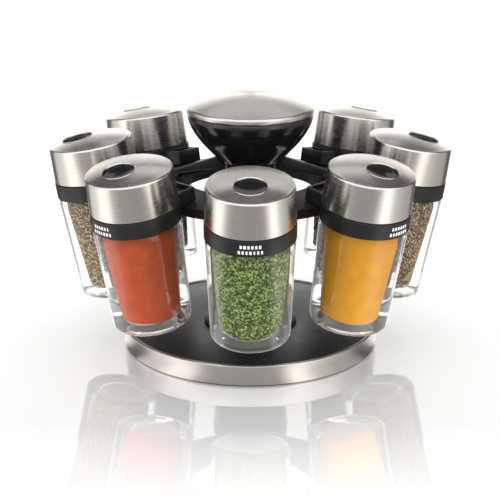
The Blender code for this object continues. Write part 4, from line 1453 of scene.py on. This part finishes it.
@dataclass
class Rotor:
    """Everything that turns with the knob: column, hub with arms, ring with tongues, bowl and cap."""

    jar: JarSizes
    jar_frame: Matrix
    frames: Sequence[Matrix]
    seat: float
    base_top: float = 0.0124
    spindle: float = 0.005
    column_radius: float = 0.0133
    column_wall: float = 0.0028
    column_web: float = 0.0036
    flare_radius: float = 0.0285
    flare_height: float = 0.020
    foot_edge: float = 0.0014
    flange_radius: float = 0.0112
    ring_width: float = 0.0226
    ring_depth: float = 0.0097
    ring_wall: float = 0.0025
    ring_margin: float = 0.0009
    hub_radius: float = 0.0168
    hub_height: float = 0.0147
    hub_rise: float = 0.0068
    hub_floor: float = 0.0077
    arm_thickness: float = 0.004
    arm_crest: float = 0.0205
    arm_root_depth: float = 0.0076
    arm_tip_height: float = 0.0048
    arm_tip_clearance: float = 0.0012
    arm_count: int = 4
    pad_width: float = 0.009
    pad_length: float = 0.0078
    pad_height: float = 0.0032
    bowl_radius: float = 0.0376
    bowl_height: float = 0.0309
    bowl_wall: float = 0.003
    bowl_lip: float = 0.0022
    bowl_throat: float = 0.0009
    bowl_floor: float = 0.0069
    cap_radius: float = 0.0383
    cap_rim: float = 0.002
    cap_edge: float = 0.0018
    cap_crown: float = 0.0062
    cap_wall: float = 0.0013
    spigot_wall: float = 0.0014
    spigot_depth: float = 0.004

    def meridian(self, inward: float, height: float) -> Point:
        """The (radius, height) on the column's axis of a point in a jar's middle plane."""
        point = self.jar_frame @ Vector((0, inward, height))
        return -point.y, point.z

    def seat_height(self, radius: float) -> float:
        """Height of the cone under the lugs at a radius."""
        lug_radius, lug_height = self.meridian(self.jar.collar_radius, self.jar.glass_height - SEAT_GAP)
        return lug_height + (lug_radius - radius) * math.tan(self.tilt)

    @property
    def tilt(self) -> float:
        """How far a jar leans outwards, in radians."""
        return (self.jar_frame.to_3x3() @ Vector((0, 0, 1))).angle(Vector((0, 0, 1)))

    @property
    def ring_outer(self) -> float:
        """Outer radius of the carrier ring."""
        near = self.jar.pocket[0] + self.jar.tongue_clearance
        return self.meridian(near, self.jar.glass_height)[0] + self.ring_margin

    @property
    def ring_inner(self) -> float:
        """Inner radius of the carrier ring."""
        return self.ring_outer - self.ring_width

    @property
    def hub_top(self) -> float:
        """Height of the hub's upper edge."""
        return self.seat_height(self.ring_inner) + self.hub_rise

    def bowl_outline(self, steps: int = 28) -> list[Point]:
        """The outside of the bowl from its neck up to its lip.

        Args:
            steps: stretches along the curve.

        Returns:
            The (radius, height) points.
        """
        throat = (self.column_radius + self.bowl_throat, self.hub_top + 2 * GAP)
        flare, rim = self.bowl_radius - throat[0], throat[1] + self.bowl_height
        lower = (throat[0] + 0.42 * flare, throat[1] + 0.28 * self.bowl_height)
        upper = (throat[0] + 0.94 * flare, throat[1] + 0.66 * self.bowl_height)
        return bezier((throat, lower, upper, (self.bowl_radius, rim)), steps)

    def build(self) -> None:
        """Builds and places the rotor's visible pieces."""
        self._column()
        self._spider()
        self._ring()
        self._bowl()
        self._cap()

    def _column(self) -> None:
        """The hollow column with its flared foot."""
        bore, hollow = self.spindle + GAP, self.column_radius - self.column_wall
        foot = self.base_top + SEAT_GAP
        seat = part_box("column")[0].z + (self.seat - foot)
        flare_foot = foot + self.foot_edge
        top = self.hub_top - self.hub_height - GAP
        flare = bezier([(self.flare_radius, flare_foot),
                        (0.58 * self.flare_radius, flare_foot + 0.1 * self.flare_height),
                        (self.column_radius, flare_foot + 0.4 * self.flare_height),
                        (self.column_radius, flare_foot + self.flare_height)], 20)
        recess = self.flange_radius + 4 * GAP
        corners = [(bore, seat, 0), (recess, seat, 0), (recess, foot, 0.0002),
                   (self.flare_radius, foot, 0.0003), (*flare[0], 0.0004), *[(r, z, 0) for r, z in flare[1:]],
                   (self.column_radius, top, 0.0004), (bore, top, 0), (bore, top - self.column_web, 0),
                   (hollow, top - self.column_web, 0), (hollow, seat + self.column_web, 0),
                   (bore, seat + self.column_web, 0)]
        column = turned("turning_column", rounded(corners, steps=3), 96)
        show("turning_column", column, SATIN, "rotor", ["column"])

    def _spider(self) -> None:
        """The hub and its four blade-shaped arms, with pads that stand on the ring."""
        bore, socket = self.spindle + GAP, self.column_radius + GAP
        foot, top = self.hub_top - self.hub_height, self.hub_top
        hub = turned("hub", rounded([
            (bore, foot, 0), (self.hub_radius, foot, 0.0006), (self.hub_radius, top, 0.0006),
            (socket, top, 0.0002), (socket, foot + self.hub_floor, 0), (bore, foot + self.hub_floor, 0)],
            steps=3), 96)
        underside = self.bowl_outline(5)
        root, shave = (self.column_radius + self.hub_radius) / 2, 2 * GAP
        crest = crossing(underside, 0, self.arm_crest)[1] - shave
        reach = self.meridian(self.jar.collar_radius + self.jar.lug_depth, self.jar.glass_height)[0]
        reach -= self.arm_tip_clearance
        outline = [(root, crossing(underside, 0, root)[1] - shave), (self.arm_crest, crest),
                   (reach, self.seat_height(reach) + self.arm_tip_height),
                   (reach, self.seat_height(reach) + 2 * GAP),
                   (self.ring_inner, self.seat_height(self.ring_inner) + 2 * GAP),
                   (root, crest - self.arm_root_depth)]
        arm = block("arm", [(-r, z) for r, z in outline], self.arm_thickness, 0.0006)
        outer = reach - GAP
        inner = outer - self.pad_length
        pad_outline = [(inner, self.seat_height(inner) + GAP), (outer, self.seat_height(outer) + GAP),
                       (outer, self.seat_height(outer) + self.pad_height),
                       (inner, self.seat_height(inner) + self.pad_height)]
        pad = block("pad", [(-r, z) for r, z in pad_outline], self.pad_width, 0.0005)
        turns = [Matrix.Rotation(math.tau * i / self.arm_count, 4, "Z") for i in range(self.arm_count)]
        spider = combined(hub, [moved(shape, turn) for turn in turns for shape in (arm, pad)], Cut.JOIN, 30)
        show("arm_hub", spider, SATIN, "rotor", ["hub_spider"])

    def _ring(self) -> None:
        """The ring under the lugs, with a tongue for each jar."""
        inner, outer, wall = self.ring_inner, self.ring_outer, self.ring_wall
        foot = self.seat_height(inner) - self.ring_depth
        seat = self.seat_height
        band = turned("ring", rounded([
            (inner, foot, 0.0004), (inner + wall, foot, 0.0004),
            (inner + wall, seat(inner + wall) - wall, 0.0006),
            (outer - wall, seat(outer - wall) - wall, 0.0006), (outer - wall, foot, 0.0004),
            (outer, foot, 0.0004), (outer, seat(outer), 0.0008), (inner, seat(inner), 0.0008)], steps=4), 160)
        jar = self.jar
        near, far = jar.pocket
        near, far = near + jar.tongue_clearance, far - jar.tongue_clearance
        low = jar.glass_height - SEAT_GAP - 0.6 * wall
        high = jar.glass_height + jar.tongue_height
        width = jar.lug_width - 2 * jar.lug_wall - 2 * jar.tongue_clearance
        tongue = block("tongue", [(near, low), (far, low), (far, high), (near, high)], width, 0.0005)
        joined = combined(band, [moved(tongue, frame) for frame in self.frames], Cut.JOIN, 30)
        show("jar_ring", joined, SATIN, "rotor", ["carrier_ring"])

    def _bowl(self) -> None:
        """The glossy bowl under the knob's cap."""
        bore = self.spindle + GAP
        outside = self.bowl_outline()
        floor = self.hub_top + 2 * GAP + self.bowl_floor
        floor_radius = crossing(outside, 1, floor)[0]
        inside = [(r - self.bowl_wall, z) for r, z in reversed(outside) if z > floor + GAP]
        neck = self.hub_top - self.hub_height + self.hub_floor + GAP
        lip = outside[-1][1] + self.bowl_lip
        corners = [(bore, neck, 0), (self.column_radius, neck, 0.0003),
                   (self.column_radius, self.hub_top + GAP, 0),
                   *[(r, z, 0) for r, z in outside], (self.bowl_radius - self.bowl_wall / 4, lip, 0.0004),
                   (self.bowl_radius - self.bowl_wall, lip, 0), *[(r, z, 0) for r, z in inside],
                   (floor_radius - self.bowl_wall, floor, 0), (bore, floor, 0)]
        shell = turned("knob_shell", rounded(corners, steps=3), 160)
        show("knob_shell", shell, GLOSS, "rotor", ["knob_bowl"])

    def _cap(self) -> None:
        """The domed steel cap with its round rim."""
        foot = self.bowl_outline()[-1][1] + self.bowl_lip + GAP
        shoulder = foot + self.cap_rim
        edge_radius = self.cap_radius - self.cap_edge
        arc = [(edge_radius + self.cap_edge * math.cos(math.radians(a)),
                shoulder + self.cap_edge * math.sin(math.radians(a))) for a in range(80, -1, -10)]
        rim_radius, rim_height = arc[0]
        dome = [(r, crown_height(r, rim_radius, rim_height, self.cap_crown))
                for r in (rim_radius * k / 24 for k in range(24))]
        spigot = self.bowl_radius - self.bowl_wall - 2 * GAP
        spigot_inner = spigot - self.spigot_wall
        under_rise = self.cap_crown - self.cap_wall / 2
        under = [(r, crown_height(r, spigot_inner, shoulder, under_rise))
                 for r in (spigot_inner * k / 8 for k in range(8, -1, -1))]
        corners = [*[(r, z, 0) for r, z in dome], *[(r, z, 0) for r, z in arc],
                   (self.cap_radius - GAP / 2, foot, 0.0005), (spigot, foot, 0),
                   (spigot, foot - self.spigot_depth, 0.0003),
                   (spigot_inner, foot - self.spigot_depth, 0.0003),
                   *[(r, z, 0) for r, z in under]]
        cap = turned("knob_dome", rounded(corners, closed=False, steps=4), 192)
        show("knob_dome", cap, KNOB_STEEL, "rotor", ["knob_cap"])


class Hidden:
    """The frame's own nodes that stay as they are, dressed in their finishes."""

    finishes = {"ballast_plate": IRON, "spindle_bush": BEARING, "thrust_washer": BEARING,
                "spindle": ROD_STEEL, "retaining_clip": ROD_STEEL, "knob_nut": ROD_STEEL,
                **{f"arm_screw_{n}": ROD_STEEL for n in range(1, 5)}}

    @classmethod
    def dress(cls, nodes: dict[str, bpy.types.Object]) -> None:
        """Gives each node its material.

        Args:
            nodes: the frame's nodes by name.
        """
        for name, finish in cls.finishes.items():
            slots = nodes[name].data.materials
            slots.clear()
            slots.append(finish.make())
            log.info("%s: dressed in %s", name, finish.name)


# ---------------------------------------------------------------- studio


# Name, place, size and power of each soft lamp.
LAMPS = (("left_panel", (-1.1, -0.9, 0.9), 0.9, 5.0), ("right_panel", (1.2, -0.8, 0.8), 0.8, 4.0),
         ("top_panel", (0.0, 0.2, 1.5), 1.2, 4.0))


def sheet(name: str, corners: Sequence[Corner], material_name: str) -> tuple[bpy.types.Object, Bench]:
    """A flat four-cornered piece of the studio, with an empty material.

    Args:
        name: its name.
        corners: its corners in turn.
        material_name: the name of its material.

    Returns:
        The piece, and a bench to wire its material on.
    """
    mesh = bpy.data.meshes.new(name)
    mesh.from_pydata(corners, [], [(0, 1, 2, 3)])
    piece = bpy.data.objects.new(name, mesh)
    bpy.context.scene.collection.objects.link(piece)
    material = bpy.data.materials.new(material_name)
    material.use_nodes = True
    mesh.materials.append(material)
    return piece, Bench(material.node_tree)


@dataclass
class Studio:
    """The pale floor, the soft light round it and the camera."""

    camera_place: tuple[float, float, float] = (0.0, -0.916, 0.3652)
    camera_pitch: float = 18.57
    focal_length: float = 113.5
    frame_shift: float = -0.00086
    sensor: float = 36.0
    aim_height: float = 0.07
    floor_half: float = 30.0
    floor_colour: Colour = (0.99, 0.99, 0.99)
    floor_roughness: float = 0.03
    dull_from: float = -0.32  # the floor is duller in front of the object than under it
    dull_to: float = -0.13
    dull_mirror: float = 0.12
    floor_mirror: float = 0.54
    near: float = 0.105  # what the floor shows to metal turns a little close to the base
    near_end: float = 0.14
    near_turn: float = 0.8
    floor_glow: float = 1.2
    sky: float = 1.35
    panel_near: float = 0.10
    panel_far: float = 0.27
    panel_half: float = 0.13
    panel_height: float = 0.35
    panel_strength: float = 0.85

    def build(self) -> None:
        """Sets up floor, light and camera."""
        self._floor()
        self._panel()
        self._world()
        self._lights()
        self._camera()
        bpy.context.scene.view_settings.view_transform = "Standard"

    def _floor(self) -> None:
        """A polished pale floor that glows with the studio's surround to glossy rays, a painted reflection, so
        that metal sees it as dark in front and bright at both sides.
        """
        half = self.floor_half
        corners = [(-half, -half, 0), (half, -half, 0), (half, half, 0), (-half, half, 0)]
        floor, bench = sheet("floor", corners, "polished_floor")
        matt = bench.add("ShaderNodeBsdfDiffuse", {"Color": (*self.floor_colour, 1)}).outputs[0]
        mirror = bench.add("ShaderNodeBsdfGlossy", {"Roughness": self.floor_roughness}).outputs[0]
        place = bench.add("ShaderNodeTexCoord").outputs["Object"]
        parts = bench.add("ShaderNodeSeparateXYZ", {0: place}).outputs
        share = bench.spread(parts["Y"], self.dull_from, self.dull_to, self.dull_mirror, self.floor_mirror)
        polished = bench.add("ShaderNodeMixShader", {0: share, 1: matt, 2: mirror}).outputs[0]
        reach = bench.add("ShaderNodeVectorMath", {0: place}, operation="LENGTH").outputs["Value"]
        turn = bench.maths("MULTIPLY", bench.azimuth(parts["X"], parts["Y"]),
                           bench.spread(reach, self.near, self.near_end, self.near_turn, 0.0))
        aim = bench.add("ShaderNodeVectorRotate", {"Vector": place, "Angle": turn}).outputs[0]
        seen = Groups.use(bench, "surround", {"Direction": aim})["Colour"]
        # painted reflection: to glossy rays the floor glows with the studio's surround pattern instead of shading
        plain = bench.add("ShaderNodeEmission", {"Color": seen, "Strength": self.floor_glow}).outputs[0]
        glossy = bench.add("ShaderNodeLightPath").outputs["Is Glossy Ray"]
        both = bench.add("ShaderNodeMixShader", {0: glossy, 1: polished, 2: plain}).outputs[0]
        bench.tree.links.new(both, bench.tree.nodes["Material Output"].inputs["Surface"])
        floor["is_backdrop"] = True

    def _panel(self) -> None:
        """A soft panel high behind the knob, seen only by what shines."""
        near, far, half, height = self.panel_near, self.panel_far, self.panel_half, self.panel_height
        panel, bench = sheet("roof_panel", [(-half, near, height), (-half, far, height), (half, far, height),
                                            (half, near, height)], "panel_light")
        panel.visible_camera = panel.visible_diffuse = False
        panel.visible_shadow = panel.visible_transmission = False
        shine = bench.add("ShaderNodeEmission", {"Strength": self.panel_strength}).outputs[0]
        bench.tree.links.new(shine, bench.tree.nodes["Material Output"].inputs["Surface"])
        panel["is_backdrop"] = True

    def _world(self) -> None:
        """White for the eye and for soft light, with bright panels and dark gaps for metal to show."""
        world = bpy.data.worlds.new("studio")
        bpy.context.scene.world = world
        world.use_nodes = True
        bench = Bench(world.node_tree)
        direction = bench.add("ShaderNodeTexCoord").outputs["Generated"]
        mirror = Groups.use(bench, "surround", {"Direction": direction})["Colour"]
        glossy = bench.add("ShaderNodeLightPath").outputs["Is Glossy Ray"]
        background = bench.tree.nodes["Background"]
        background.inputs["Strength"].default_value = self.sky
        bench.tree.links.new(bench.mix(glossy, (1, 1, 1, 1), mirror), background.inputs["Color"])

    def _lights(self) -> None:
        """Two soft panels in front and one overhead."""
        aim = Vector((0, 0, self.aim_height))
        for name, place, size, power in LAMPS:
            light = bpy.data.lights.new(name, "AREA")
            light.size, light.energy = size, power
            lamp = bpy.data.objects.new(name, light)
            lamp.location = place
            lamp.visible_glossy = False
            lamp.rotation_euler = (aim - Vector(place)).to_track_quat("-Z", "Y").to_euler()
            bpy.context.scene.collection.objects.link(lamp)

    def _camera(self) -> None:
        """The camera, looking along +Y and down on the carousel."""
        data = bpy.data.cameras.new("camera")
        data.lens, data.sensor_width, data.shift_x = self.focal_length, self.sensor, self.frame_shift
        camera = bpy.data.objects.new("camera", data)
        camera.location = self.camera_place
        camera.rotation_euler = (math.radians(90 - self.camera_pitch), 0, 0)
        bpy.context.scene.collection.objects.link(camera)
        bpy.context.scene.camera = camera


# ---------------------------------------------------------------- assembly


def jar_frames(joints: Sequence[dict]) -> dict[int, Matrix]:
    """Each jar's own frame, from the axis on which its cap turns.

    Args:
        joints: the frame's joints.

    Returns:
        The frames by their jars' numbers.
    """
    frames = {}
    for joint in joints:
        if not joint["name"].endswith("_twist"):
            continue
        foot, axis = Vector(joint["pos_m"]), Vector(joint["axis"]).normalized()
        outward = Vector((foot.x, foot.y, 0)).normalized()
        across = Vector((0, 0, 1)).cross(outward).normalized()
        inward = axis.cross(across)
        turn = Matrix((across, inward, axis)).transposed().to_4x4()
        frames[int(joint["name"].split("_")[1])] = Matrix.Translation(foot) @ turn
    return frames


def main() -> dict:
    """Builds the carousel around the frame.

    Returns:
        The size of the frame and of the finished object.
    """
    logging.basicConfig(level=logging.INFO, format="%(name)s: %(message)s")
    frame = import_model()
    cad_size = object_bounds()
    Studio().build()

    sizes = JarSizes()
    frames = jar_frames(frame["joints"])
    Base().build()
    in_order = [frames[n] for n in sorted(frames)]
    Rotor(sizes, frames[1], in_order, seat=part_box("spindle_bush")[1].z + RECESS_RISE).build()

    meshes = JarMeshes(sizes)
    shared = {"glass": meshes.glass(), "collar": meshes.collar(), "sifter": meshes.sifter(),
              "cap": meshes.cap()}
    for number, spice in spices().items():
        Jar(number, frames[number], spice, meshes, shared).build()
    Hidden.dress(frame["nodes"])

    bpy.context.view_layer.update()
    found = {"cad": [list(corner) for corner in cad_size], "visual": [list(corner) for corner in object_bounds()]}
    return found


if __name__ == "__main__":
    main()
